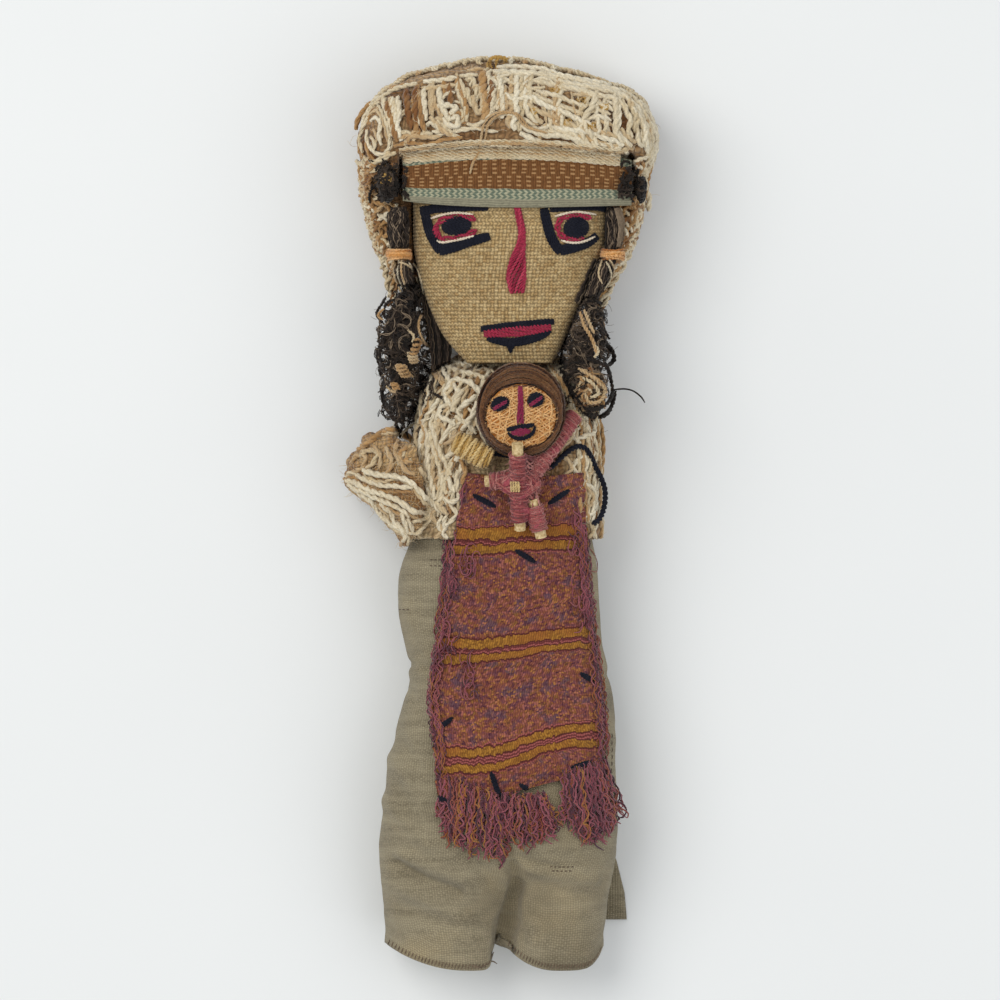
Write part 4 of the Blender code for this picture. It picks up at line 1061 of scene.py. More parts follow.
EYE_LEFT_BARS = (
    (((420, 211), (440, 209), (466, 207.5), (488, 208)), (8, 8, 8, 6), 5),
    (((425, 211), (428, 226), (433, 240), (441, 252)), (8, 9, 9, 9), 5),
    (((439, 251), (456, 247), (474, 241), (490, 237)), (10, 9, 9, 7), 6),
)
EYE_RIGHT_BARS = (
    (((544, 209), (547, 224), (552, 240), (561, 253)), (8, 9, 9, 9), 5),
    (((550, 209), (572, 207.5), (596, 207), (612, 210)), (8, 7, 7, 7), 4),
    (((560, 251), (574, 248), (588, 243), (597.5, 236)), (10, 9, 9, 7), 6),
)
EYE_LEFT_RED = (
    ((436, 238), (438, 224), (456, 216.5), (468, 217.5), (476, 221)),
    ((436, 228), (441, 239), (460, 238), (477, 231)),
)
EYE_RIGHT_RED = (
    ((591, 219), (576, 215.5), (562, 219), (557, 226)), ((557, 223), (559, 234), (569, 240), (584, 239)),
)
EYE_LEFT_WHITE = (
    ((431, 219), (442, 215.5), (456, 213.5), (473, 215)),
    ((437, 241), (442, 243), (458, 240.5), (474, 236.5)),
)
EYE_RIGHT_WHITE = (
    ((555, 217), (566, 214), (578, 212.5), (596, 215)), ((561, 241), (572, 243.5), (584, 242), (595, 237)),
)
PUPIL_LEFT, PUPIL_RIGHT = ((456.5, 226.5), 30, 18, -6), ((576, 228.5), 26, 21, -8)
NOSE_LINE = ((516.5, 205), (520, 220), (521.5, 232), (521, 244), (518, 260), (516, 278), (517, 294))
NOSE_WIDTHS = (4, 5, 5, 8, 15, 18, 13)
MOUTH_UPPER = ((481, 329.5), (505, 327), (530, 324.5), (554, 322))
MOUTH_LOWER = ((487, 338.5), (500, 341.5), (514, 342.5), (538, 337.5), (550.5, 330.5))
MOUTH_RED = ((484, 334), (508, 332.5), (530, 330.5), (551, 327.5))
MOUTH_DRIP = ((511, 341), (510.5, 346), (510.5, 353))


def make_face_embroidery(head):
    """Eyes, nose and mouth: yarns couched side by side on the face cloth."""
    tree = tree_of(head)
    lift = 0.35

    def couch(routes):
        return [laid(route, tree, lift, least=34.0) for route in routes]

    for side, bars, reds, whites, pupil in (
        ("left", EYE_LEFT_BARS, EYE_LEFT_RED, EYE_LEFT_WHITE, PUPIL_LEFT),
        ("right", EYE_RIGHT_BARS, EYE_RIGHT_RED, EYE_RIGHT_WHITE, PUPIL_RIGHT),
    ):
        dark = []
        for route, width, count in bars:
            dark += couch(bundle(route, width, count))
        middle, wide, tall, degrees = pupil
        dark += [laid(r, tree, lift + 0.2, least=34.0) for r in satin(middle, wide, tall, degrees, 1.7)]
        red = []
        for route in reds:
            red += couch(bundle(route, (4, 5, 4), 2, braid=2.0))
        white = [laid(route, tree, lift + 0.5, least=34.0) for route in whites]
        eye = joined(f"eye_{side}_yarn", [
            spin("dark", dark, dark_yarn, 0.34, pitch=2.6, step=0.6, wander=0.5),
            spin("red", red, red_yarn, 0.36, pitch=2.6, step=0.6, wander=0.5),
            spin("white", white, white_thread, 0.3, pitch=2.2, step=0.6),
        ])
        settled(eye, "dark_yarn", f"eye_{side}")
    nose = couch(bundle(NOSE_LINE, NOSE_WIDTHS, 12, braid=0.8, rise=0.4))
    tones = [0.3, 0.7, 0.5, 0.9, 0.2, 0.6, 0.8, 0.4, 0.6, 0.3, 0.9, 0.5]
    settled(spin("nose_yarn", nose, red_yarn, 0.35, pitch=3.0, tones=tones, wander=0.9), "red_yarn", "nose")
    dark = couch(bundle(MOUTH_UPPER, (5, 7, 7, 5), 4)) + couch(bundle(MOUTH_LOWER, (4, 7, 8, 7, 4), 5))
    dark += couch(bundle(MOUTH_DRIP, (14, 6, 1), 4))
    red = couch(bundle(MOUTH_RED, (5, 8, 5), 6, braid=0.8))
    mouth = joined("mouth_yarn", [
        spin("dark", dark, dark_yarn, 0.34, pitch=2.6, step=0.6),
        spin("red", red, red_yarn, 0.4, pitch=2.6, step=0.6),
    ])
    settled(mouth, "dark_yarn", "mouth")


def make_headband():
    """The woven headband: ribs and rows stand in its mesh, and its stripes are in its finish."""
    tree = tree_of(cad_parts["headband"])
    low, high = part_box("headband")
    columns, rows = 250, 64
    over, under = [], []
    for i in range(columns):
        share = i / (columns - 1)
        x = low.x + 0.3 * MM + (high.x - low.x - 0.6 * MM) * share
        crown = top(tree, x, (low.y + high.y) / 2)
        inside = crown - 1.1 * MM
        upper = struck(tree, (x, 0.3, inside), (0.0, -1.0, 0.0)).y
        lower = struck(tree, (x, 0.0, inside), (0.0, 1.0, 0.0)).y
        for j in range(rows):
            v = j / (rows - 1)
            y = lower + (upper - lower) * v
            along = v * 20.0
            across = (x - low.x) / MM
            rib = 0.16 * abs(math.sin(math.pi * across / BAND_RIB))
            row = 0.16 * abs(math.sin(math.pi * along / BAND_ROW))
            curl = 0.5 * MM * (1 - min(1.0, 6 * v * (1 - v) * 2))
            z = crown + (rib + row - 0.3) * MM - curl
            over.append((x, y, z, across, along))
            under.append((x, y, crown - 1.7 * MM, across, along))
    count = len(over)
    verts = [p[:3] for p in over + under]
    faces = []
    for i in range(columns - 1):
        for j in range(rows - 1):
            a = i * rows + j
            faces.append((a, a + rows, a + rows + 1, a + 1))
            faces.append((count + a, count + a + 1, count + a + rows + 1, count + a + rows))
    rim = [i * rows for i in range(columns)] + [(columns - 1) * rows + j for j in range(1, rows)]
    rim += [i * rows + rows - 1 for i in range(columns - 2, -1, -1)] + list(range(rows - 2, 0, -1))
    for a, b in zip(rim, rim[1:] + rim[:1]):
        faces.append((a, count + a, count + b, b))
    both = over + under
    where = [both[i][3:] for f in faces for i in f]
    band = woven("headband_cloth", verts, faces, where, band_finish())
    settled(band, "band_weave", "headband")


# The netted headcloth
CROWN_Y, CROWN_Z = 142.0, 24.0  # middle of the crown's roll
NET_PITCH = 5.4
FALL_LEFT = ((160, 361), (188, 359), (212, 365), (236, 371), (260, 381), (290, 386))  # pixel rows and edges
FALL_RIGHT = ((160, 651), (188, 646), (212, 643), (236, 637), (260, 627), (284, 613), (305, 604))
# Yarns on the crown in the photograph: thickness, tone from brown to white, route
CROWN_LEFT = (
    (6, .8, ((362, 127), (365, 115), (375, 102), (388, 93), (400, 88), (417, 84))),
    (7, .95, ((423, 82), (438, 82), (457, 79))), (6, .85, ((460, 77), (478, 76))),
    (5, .8, ((363, 153), (360, 140), (362, 130), (368, 117), (375, 105), (380, 102))),
    (4, .8, ((377, 103), (383, 115), (388, 130), (390, 140), (388, 150))),
    (5, .95, ((382, 102), (388, 117), (392, 132), (393, 138))),
    (6, .7, ((362, 155), (372, 162), (383, 160), (390, 153))),
    (5, .9, ((367, 130), (368, 143), (375, 153), (385, 155), (390, 148))),
    (5, .9, ((370, 122), (376, 118), (381, 126), (379, 136), (382, 146))),
    (5, .8, ((371, 137), (375, 143), (374, 150))),
    (8, .2, ((387, 102), (392, 122), (395, 135), (398, 143))),
    (8, 1, ((392, 98), (395, 115), (398, 130), (402, 142))), (7, 1, ((398, 97), (400, 110), (399, 123))),
    (9, .1, ((407, 90), (408, 110), (412, 130))), (8, .12, ((417, 87), (415, 107), (417, 127))),
    (5, .75, ((403, 114), (408, 110), (416, 103))),
    (6, .5, ((408, 143), (412, 137), (418, 132), (417, 140))),
    (7, .3, ((418, 85), (420, 107), (423, 127), (425, 132))),
    (7, 1, ((425, 88), (424, 102), (426, 118), (427, 122))), (6, .65, ((432, 85), (432, 102), (433, 118))),
    (7, 1, ((440, 87), (440, 98), (443, 110), (447, 117), (450, 123))),
    (5, .85, ((443, 100), (448, 94), (455, 94))), (7, 1, ((438, 108), (450, 107), (457, 110), (450, 115))),
    (7, .95, ((443, 120), (450, 128), (458, 127), (457, 118), (450, 122))),
    (6, .95, ((427, 127), (432, 124), (438, 130), (440, 133), (432, 133))),
    (7, .6, ((430, 118), (438, 127), (447, 135), (453, 137))),
    (6, .7, ((457, 82), (458, 93), (465, 108), (467, 123))), (5, .75, ((460, 80), (465, 95), (465, 100))),
    (5, .85, ((458, 98), (467, 99), (473, 100))),
    (7, .65, ((473, 90), (478, 87), (482, 100), (482, 110), (478, 115), (475, 108), (473, 97))),
    (5, .8, ((470, 87), (473, 80))), (9, .35, ((482, 73), (483, 93), (485, 110), (483, 123))),
    (8, .05, ((490, 82), (492, 93), (488, 107))), (6, .95, ((492, 70), (488, 77), (497, 85), (500, 92))),
    (6, .95, ((510, 75), (500, 80), (498, 88))), (7, 1, ((501, 90), (503, 107), (502, 120))),
    (6, .95, ((495, 92), (492, 108), (490, 113))),
    (5, .8, ((467, 125), (477, 127), (488, 117), (495, 113))),
    (4, .8, ((453, 132), (470, 130), (492, 133), (498, 133))),
    (6, .5, ((396, 141), (410, 137), (424, 139), (440, 138))),
    (5, .3, ((394, 148), (408, 144), (426, 146), (442, 142), (462, 139))),
    (8, .15, ((449, 84), (450, 96), (451, 106))),
)
CROWN_RIGHT = (
    (7, .95, ((498, 75), (500, 85), (502, 98), (503, 108), (502, 118))),
    (6, .9, ((495, 90), (493, 98), (491, 107))),
    (8, .95, ((516, 77), (517, 90), (515, 102), (517, 115), (513, 123), (515, 132))),
    (7, .9, ((527, 75), (524, 88), (525, 100), (526, 110), (532, 120), (538, 124))),
    (3, .6, ((538, 85), (542, 97), (545, 113), (547, 127))),
    (7, .95, ((562, 83), (560, 97), (558, 110), (562, 123), (562, 130))),
    (3, .6, ((571, 93), (574, 110), (577, 120), (578, 128))),
    (7, .9, ((597, 92), (593, 105), (588, 113), (583, 122), (587, 132), (593, 140), (597, 147))),
    (7, .9, ((614, 93), (615, 107), (615, 123), (614, 133), (622, 143))),
    (7, .85, ((622, 100), (627, 115), (630, 122), (628, 132), (632, 138))),
    (7, .9, ((632, 108), (640, 120), (645, 130), (645, 140), (647, 153))),
    (6, .9, ((637, 130), (638, 143), (642, 148))),
    (7, .95, ((635, 98), (645, 108), (653, 122), (657, 135), (655, 148), (650, 163))),
    (7, .9, ((627, 93), (637, 103), (645, 115), (650, 127), (652, 143), (650, 153))),
    (7, .95, ((497, 68), (523, 67), (545, 70), (565, 77), (590, 82), (617, 87), (632, 93))),
    (7, .85, ((493, 72), (507, 73), (527, 75), (545, 75), (560, 78), (580, 82), (597, 87), (613, 90),
        (623, 92), (635, 100))),
    (6, .9, ((532, 82), (545, 80), (553, 85), (560, 87))),
    (6, .85, ((565, 90), (577, 90), (587, 93), (593, 98))),
    (7, .95, ((505, 95), (512, 100), (523, 99), (533, 100), (540, 105), (547, 108), (560, 112),
        (570, 117), (580, 122), (593, 128))),
    (6, .9, ((587, 122), (597, 118), (610, 122))), (6, .85, ((598, 105), (607, 108), (613, 112))),
    (6, .9, ((507, 117), (517, 118), (527, 123), (535, 127))),
    (6, .9, ((490, 118), (497, 115), (500, 118))),
    (7, .95, ((520, 127), (532, 133), (545, 137), (560, 137), (573, 140), (582, 143), (593, 148),
        (607, 150), (614, 151))),
    (7, .95, ((538, 133), (547, 128), (557, 130), (570, 132), (583, 133), (597, 137), (607, 140),
        (617, 143), (623, 147))),
    (6, .9, ((575, 137), (577, 142), (583, 150), (593, 151))), (5, 1, ((593, 157), (600, 160), (605, 158))),
    (6, .9, ((615, 148), (620, 155), (627, 152), (623, 160), (630, 167))),
    (6, .9, ((617, 133), (623, 140), (632, 147))),
    (7, .95, ((630, 172), (637, 173), (643, 187), (643, 203))),
    (6, .5, ((632, 175), (635, 190), (635, 203))),
    (6, .85, ((536, 92), (548, 95), (560, 99), (574, 104), (586, 109))),
    (6, .8, ((605, 98), (603, 112), (606, 128), (601, 138))),
    (5, .7, ((508, 84), (520, 86), (532, 90), (545, 88))), (6, .85, ((553, 112), (550, 122), (552, 132))),
)
LOOSE_THREAD = (
    (543, 134), (525, 128), (513, 115), (496, 115), (485, 124), (481, 140), (479, 153), (473, 164),
    (470, 175),
)
BROW_STRANDS = ((400, 157), (440, 153), (500, 150.5), (560, 153), (620, 159))
GOLD_THREADS = ((555, 92), (581, 102), (534, 113), (605, 108), (566, 124), (590, 128))
TUFT = (
    ((489, 72), (488, 63), (493, 58), (502, 58), (507, 62)),
    ((498, 70), (496, 62), (501, 57), (508, 59)),
    ((492, 68), (490, 60), (497, 56.5), (505, 60), (503, 66)),
)
GAUZE_TOP = 1.05  # height of the netting over the roll, in millimetres
FALL_FOOT = 12.0  # width of each fall beside the hair's lower lock, in pixels


def oval_route(x, y, wide, tall, degrees, points=14):
    """A closed route of pixels round a leaning oval."""
    turn = math.radians(degrees)
    found = []
    for n in range(points):
        a = math.tau * n / points
        u, v = wide * math.cos(a), tall * math.sin(a)
        aside, down = u * math.cos(turn) - v * math.sin(turn), u * math.sin(turn) + v * math.cos(turn)
        found.append((x + aside, y + down))
    return found


def crown_path(tree, points, lifts, step=1.0):
    """A path over the crown's roll, through points of x in millimetres and degrees round it."""
    plan = [(x * MM, degrees * MM * 0.4, lift * MM) for (x, degrees), lift in zip(points, lifts)]
    line = curve_through(plan, step * MM)
    found = []
    for x, scaled, lift in line:
        turn = math.radians(scaled / (0.4 * MM))
        away = Vector((0.0, math.cos(turn), math.sin(turn)))
        middle = Vector((x, CROWN_Y * MM, CROWN_Z * MM))
        hit = skin_from(tree, middle, away, 0.15)
        if hit is not None:
            point = hit + away * lift
            found.append((point.x, point.y, max(point.z, 1.2 * MM)))
    return np.array(found)


def make_crown(dice):
    """A brown knitted roll over the crown, netted and looped with thick cream yarn."""
    knit = knit_finish("crown_knit", "6f4a2a", "b5946a")
    base = soft_copy("crown_roll", "headcloth", 1.15, knit, ease=3, rough=0.7, size=5.0)
    settled(base, "gauze", "headcloth")
    tree = tree_of(base)
    net, tones = [], []
    for x in np.arange(-45.0, 54.0, NET_PITCH):
        wave = dice.uniform(-1.0, 1.0, 16)
        route = [(x + w, d) for w, d in zip(wave, np.linspace(24, -66, 16))]
        net.append(crown_path(tree, route, [GAUZE_TOP] * 16))
        tones.append(dice.uniform(0.4, 1.0))
    for degrees in (12, -6, -26, -46):
        wave = dice.uniform(-3.0, 3.0, 30)
        route = [(x, degrees + w) for x, w in zip(np.linspace(-47.0, 53.5, 30), wave)]
        net.append(crown_path(tree, route, [GAUZE_TOP + 0.3] * 30))
        tones.append(dice.uniform(0.5, 1.0))
    netting = spin("crown_netting", net, cream_yarn, 0.56, pitch=3.6, step=0.75, tones=tones, wander=0.7)
    settled(netting, "gauze")
    loops, tones, sizes = traced(CROWN_LEFT + CROWN_RIGHT, tree, 0.3, dice, least=12.0)
    under = []
    for thick, _, route in CROWN_LEFT + CROWN_RIGHT + CROWN_RIGHT:
        aside, down = dice.uniform(-8, 8, 2)
        tone = dice.choice((0.3, 0.6, 0.8) if route[0][0] < 490 else (0.55, 0.75, 0.9))
        under.append((thick, tone, [(x + aside, y + down) for x, y in route]))
    deep, more_tones, more_sizes = traced(under, tree, -0.3, dice, least=12.0)
    loops, tones, sizes = loops + deep, tones + more_tones, sizes + more_sizes
    yarns = spin("yarns", loops, cream_yarn, 0.84, pitch=7.0, step=0.75, tones=tones, sizes=sizes,
                 wander=1.0, spread=0.42)
    settled(joined("crown_loops", [yarns, fuzzy(loops, 420, 4.0, cream_yarn, 0.85, dice)]), "gauze")
    return base, netting


def make_falls(base, dice):
    """The netted cloth that falls from the crown down both sides of the face."""
    tree = tree_of(base)
    falls, tones = [], []
    for edges, reach, sign in ((FALL_LEFT, 37.0, 1), (FALL_RIGHT, 29.0, -1)):
        rows, marks = zip(*edges)
        first, last = rows[0] - 6, rows[-1] + 4
        for k, y in enumerate(np.arange(first, last, 10.0)):
            for way in (1, -1):
                heads = y, y + 22.0
                route = []
                for share in np.linspace(0.0, 1.0, 6):
                    row = heads[0] + (heads[1] - heads[0]) * (share if way > 0 else 1 - share)
                    edge = np.interp(row, rows, marks)
                    wide = np.interp(row, (215, 262), (reach, FALL_FOOT))
                    route.append((edge + sign * wide * (share - 0.04) + dice.uniform(-1.5, 1.5),
                                  row + dice.uniform(-3, 3), 0.5 * math.cos(math.pi * (share * 5 + k))))
                falls.append(laid(route, tree, 1.1, least=10.0))
                tones.append(dice.choice((0.1, 0.25, 0.4, 0.7, 0.9)))
        for aside, tone in ((3.0, 0.75), (9.0, 0.2)):
            route = [(mark + sign * aside + dice.uniform(-1, 1), row) for row, mark in edges]
            for strand in bundle(route, (6, 6), 2, braid=6.0, rise=0.5):
                falls.append(laid(strand, tree, 1.2, least=12.0))
                tones.append(tone + dice.uniform(-0.1, 0.1))
    skin = wrapped("headcloth", np.linspace(127.0, 80.0, 20), 120, 10.0, behind=1.0)
    normals = grid_normals(skin)
    for low, high in ((0.17, 0.3), (0.7, 0.83)):
        for k in range(7):
            column = low + (high - low) * k / 6
            route = []
            for share in np.linspace(0.02, 0.98, 24):
                sway = 0.009 * math.sin(9.0 * share * math.pi + math.pi * k)
                route.append(on_skin(skin, normals, share, column + sway, 1.0))
            falls.append(curve_through(route, 0.9 * MM))
            tones.append(dice.uniform(0.1, 0.9))
    yarn = spin("headcloth_falls", falls, cream_yarn, 0.62, pitch=6.0, step=0.8, tones=tones, wander=1.1,
                spread=0.36)
    settled(yarn, "gauze")


def make_crown_threads(base, netting, dice):
    """Strands along the brow, loose and crumpled threads, and the tuft on top."""
    tree = tree_of(base)
    carriers = tree_of(base, netting, bpy.data.objects["crown_loops"], bpy.data.objects["headband_cloth"])
    second = [(x + 4, y + 1) for x, y in LOOSE_THREAD[:6]]
    loose = [laid(LOOSE_THREAD, carriers, 0.5), laid(second, carriers, 0.5)]
    brow = []
    for strand in bundle(BROW_STRANDS, (15, 18, 18, 15), 11):
        strand[:, 1] += dice.uniform(-0.7, 0.7, len(strand))
        brow.append(laid(strand, carriers, 0.2, bridge=3.2))
    crumpled = []
    for x, y in GOLD_THREADS:
        turns = np.linspace(0.0, 3.2 * math.tau, 16)
        spread = dice.uniform(3.0, 6.5, 16)
        route = [(x + s * math.cos(t), y + 0.7 * s * math.sin(1.3 * t)) for s, t in zip(spread, turns)]
        crumpled.append(laid(route, carriers, -0.3))
    tones = dice.uniform(0.45, 0.85, len(brow)).tolist()
    loose_yarn = joined("crown_loose_yarn", [
        spin("thin", loose, cream_yarn, 0.3, pitch=2.4, tones=[0.45, 0.4]),
        spin("brow", brow, cream_yarn, 0.33, pitch=5.0, step=0.9, tones=tones, wander=0.6),
        spin("crumpled", crumpled, tan_yarn, 0.22, pitch=2.0, step=0.7),
    ])
    settled(loose_yarn, "gauze")
    tuft = [laid(route, tree, 0.6, least=34.0) for route in TUFT]
    settled(spin("crown_tuft_yarn", tuft, tan_yarn, 0.4, pitch=2.6), "tan_yarn", "crown_tuft")


# The looped shawl
SHAWL_OUTER = ((440, 356), (431, 378), (424, 402), (419, 430), (417, 460), (418, 490), (422, 520))
SHAWL_INNER = ((502, 360), (492, 384), (480, 410), (472, 436), (466, 462), (460, 490), (457, 512))
SHAWL_RIGHT_INNER = ((545, 364), (562, 392), (572, 420), (578, 450), (582, 480), (584, 520))
SHAWL_RIGHT_OUTER = ((566, 360), (584, 384), (596, 414), (602, 446), (602, 482), (598, 526))
# Yarns on the shawl in the photograph: thickness, tone, route
SHAWL_YARNS = (
    (6, .9, ((439, 345), (444, 351), (448, 356))),
    (5, .9, ((462, 364), (469, 359), (478, 356), (485, 359), (482, 364))),
    (7, .95, ((441, 361), (452, 361), (462, 364), (472, 366))),
    (7, .95, ((442, 364), (452, 369), (462, 372), (474, 375), (485, 379))),
    (4, .8, ((484, 365), (496, 365), (511, 364))), (5, .8, ((475, 371), (485, 369), (494, 372))),
    (8, .4, ((432, 365), (436, 375), (444, 385))), (6, 1, ((442, 365), (446, 376), (454, 385), (462, 395))),
    (7, .95, ((462, 381), (469, 382), (476, 388), (481, 394))),
    (7, .9, ((444, 392), (449, 385), (456, 379), (462, 381))),
    (6, .9, ((444, 392), (448, 402), (454, 408))), (7, 1, ((459, 411), (465, 404), (474, 398), (476, 395))),
    (6, .9, ((436, 414), (444, 419), (452, 422), (455, 426))),
    (6, .9, ((455, 416), (464, 422), (469, 426), (476, 434))),
    (4, .85, ((468, 408), (474, 415), (478, 425), (482, 435), (486, 442), (488, 445), (486, 448),
        (484, 445))),
    (6, .9, ((441, 444), (446, 435), (452, 425), (455, 419))),
    (6, .6, ((445, 445), (454, 439), (462, 432))), (7, 1, ((446, 458), (455, 451), (468, 439))),
    (7, 1, ((455, 461), (462, 454), (474, 445))),
    (6, .95, ((434, 414), (432, 425), (435, 434), (439, 448), (444, 461))),
    (6, .85, ((439, 398), (432, 409), (425, 421), (421, 434), (419, 451))),
    (5, .8, ((425, 428), (428, 438), (426, 452))), (7, 1, ((422, 430), (420, 453), (423, 477), (433, 498))),
    (7, .95, ((428, 433), (428, 462), (433, 487), (435, 500))),
    (6, .8, ((430, 432), (433, 447), (438, 462), (442, 477), (442, 495), (437, 503))),
    (6, .75, ((435, 438), (443, 457), (448, 468), (452, 475))),
    (7, .9, ((448, 477), (452, 487), (455, 493))), (6, .8, ((458, 470), (457, 478), (458, 492))),
    (6, .95, ((443, 497), (450, 502), (458, 500), (459, 493))),
    (7, .7, ((435, 502), (442, 508), (448, 514))), (6, .9, ((427, 490), (433, 503), (441, 512))),
    (7, .9, ((449, 404), (441, 408), (436, 420))), (7, .85, ((464, 390), (458, 398), (452, 412))),
    (7, .9, ((478, 402), (474, 412), (469, 420), (462, 431))),
    (6, .75, ((452, 462), (449, 472), (444, 484), (447, 494))),
    (5, .3, ((466, 440), (472, 447), (478, 450))), (6, .35, ((460, 459), (465, 470), (462, 484))),
    (6, .8, ((564, 389), (576, 405), (578, 421), (573, 429))),
    (6, .85, ((593, 421), (594, 432), (585, 436), (576, 439))),
    (5, .9, ((582, 454), (587, 461), (585, 472), (589, 481))),
    (6, 1, ((584, 483), (594, 490), (596, 503), (591, 514), (584, 516))),
    (5, .7, ((587, 440), (592, 450), (598, 458))), (6, .4, ((579, 496), (580, 508), (577, 520))),
)


def between_routes(outer, inner, share):
    """A route at a share of the way from one route to another."""
    return [(a[0] + (b[0] - a[0]) * share, a[1] + (b[1] - a[1]) * share) for a, b in zip(outer, inner)]


def make_shawl(dice):
    """A looped wrap: brown backing under soft cream yarns that run down from the neck and loop across."""
    knit = knit_finish("shawl_knit", "7f5a36", "cdb48a")
    base = soft_copy("shawl_backing", "shawl", 1.15, knit, ease=3, rough=0.8, size=5.0)
    settled(base, "gauze", "shawl")
    tree = tree_of(base)
    yarns, tones, sizes = traced(SHAWL_YARNS, tree, 0.7, dice, least=12.0)
    for k in range(9):
        route = [(x + dice.uniform(-3, 3), y, dice.uniform(-0.4, 0.4))
                 for x, y in between_routes(SHAWL_OUTER, SHAWL_INNER, k / 8)]
        yarns.append(laid(route, tree, 0.5, least=12.0))
        tones.append(dice.choice((0.25, 0.6, 0.75, 0.85)))
        sizes.append(dice.uniform(0.7, 1.0))
    for k in range(7):
        route = [(x + dice.uniform(-4, 4), y, dice.uniform(-0.3, 0.6))
                 for x, y in between_routes(SHAWL_RIGHT_INNER, SHAWL_RIGHT_OUTER, k / 6)]
        yarns.append(laid(route, tree, 0.8, least=12.0))
        tones.append(dice.choice((0.1, 0.35, 0.7, 0.9)))
        sizes.append(dice.uniform(0.6, 0.9))
    skin = wrapped("shawl", np.linspace(54.0, -8.4, 30), 160, 14.0, behind=1.0)
    normals = grid_normals(skin)
    sides = [*np.arange(0.15, 0.40, 0.026), *np.arange(0.60, 0.86, 0.026)]
    for k, column in enumerate(sides):
        route = []
        for share in np.linspace(0.0, 1.0, 30):
            sway = 0.012 * math.sin(11.0 * share * math.pi + math.pi * k)
            route.append(on_skin(skin, normals, share, column + sway, 0.8))
        yarns.append(curve_through(route, 0.9 * MM))
        tones.append(dice.uniform(0.1, 1.0))
        sizes.append(0.8)
    loops = spin("yarns", yarns, cream_yarn, 0.84, pitch=8.0, step=0.75, tones=tones, sizes=sizes,
                 wander=1.2, spread=0.45)
    settled(joined("shawl_loops", [loops, fuzzy(yarns, 420, 4.0, cream_yarn, 0.85, dice)]), "gauze")
    return base


# The sleeve's tassel and the forearm
# Yarns of the sleeve's fan in the photograph: thickness, tone, route
TASSEL_YARNS = (
    (8, .35, ((357, 450), (372, 440), (390, 430), (407, 437), (415, 445))),
    (6, .35, ((407, 447), (400, 453), (402, 462), (408, 458))),
    (6, .8, ((345, 477), (353, 472), (360, 477), (373, 483), (385, 485), (402, 487), (413, 487))),
    (7, .9, ((362, 470), (372, 473), (385, 475), (398, 477), (410, 482), (418, 488), (425, 497),
        (433, 507))),
    (7, .95, ((345, 480), (355, 482), (362, 487), (373, 492), (385, 495), (398, 500), (408, 507),
        (418, 513))),
    (6, .85, ((352, 487), (363, 492), (375, 498), (388, 503), (402, 510), (410, 517))),
    (7, .9, ((347, 483), (360, 493), (372, 502), (377, 510), (385, 518), (392, 525), (400, 528),
        (405, 535), (403, 542))),
    (6, .9, ((380, 503), (392, 513), (393, 520), (400, 527), (408, 533))),
    (6, .85, ((402, 513), (405, 523), (408, 533))), (5, .9, ((408, 518), (412, 527), (412, 533))),
    (5, .8, ((408, 533), (417, 533), (423, 527), (432, 518))),
    (6, .9, ((415, 510), (422, 513), (433, 517))), (5, .85, ((413, 522), (423, 520), (432, 515))),
    (5, .85, ((443, 515), (438, 523), (440, 530), (445, 530), (443, 523), (448, 513))),
    (5, .8, ((393, 528), (407, 537), (408, 545))),
    (6, .6, ((360, 457), (368, 450), (378, 453), (373, 463), (365, 470))),
    (6, .5, ((385, 447), (392, 460), (390, 470), (385, 477))),
    (6, .4, ((395, 453), (405, 470), (415, 475))),
    (6, .55, ((351, 463), (358, 455), (366, 458), (362, 468), (352, 472))),
    (5, .45, ((374, 446), (380, 456), (379, 468))), (6, .7, ((420, 468), (426, 480), (430, 492))),
    (6, .5, ((398, 440), (396, 452), (404, 462), (413, 462))),
)


def make_sleeve_tassel(shawl, dice):
    """A fuzzy brown-tan core under soft cream yarns that fan out from its far end in loops."""
    knit = knit_finish("tassel_knit", "94693c", "d3b07c", 1.3)
    core = soft_copy("tassel_core", "sleeve_tassel", 1.0, knit, ease=3, rough=1.0, size=3.6)
    tree = tree_of(core, shawl)
    yarns, tones, sizes = traced(TASSEL_YARNS, tree, 0.4, dice, least=5.0)
    for _, _, route in TASSEL_YARNS[:9]:
        moved = [(x + dice.uniform(-4, 4), y + 4 + dice.uniform(-3, 3)) for x, y in route]
        yarns.append(laid(moved, tree, 0.2, least=5.0))
        tones.append(dice.uniform(0.25, 0.7))
        sizes.append(0.7)
    fan = spin("fan", yarns, cream_yarn, 0.82, pitch=8.0, step=0.75, tones=tones, sizes=sizes, wander=1.6,
               spread=0.45)
    fine = fuzzy(yarns, 500, 4.5, cream_yarn, 0.6, dice)
    settled(joined("sleeve_tassel_yarn", [core, fan, fine]), "gauze", "sleeve_tassel")


def axis_of(node):
    """Both ends of a long solid, the one nearer the crown first."""
    points = np.array([v.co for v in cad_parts[node].data.vertices])
    middle = points.mean(axis=0)
    run = np.linalg.svd(points - middle, full_matrices=False)[2][0]
    run = run if run[1] > 0 else -run
    reach = (points - middle) @ run
    return Vector(middle + run * reach.max()), Vector(middle + run * reach.min())


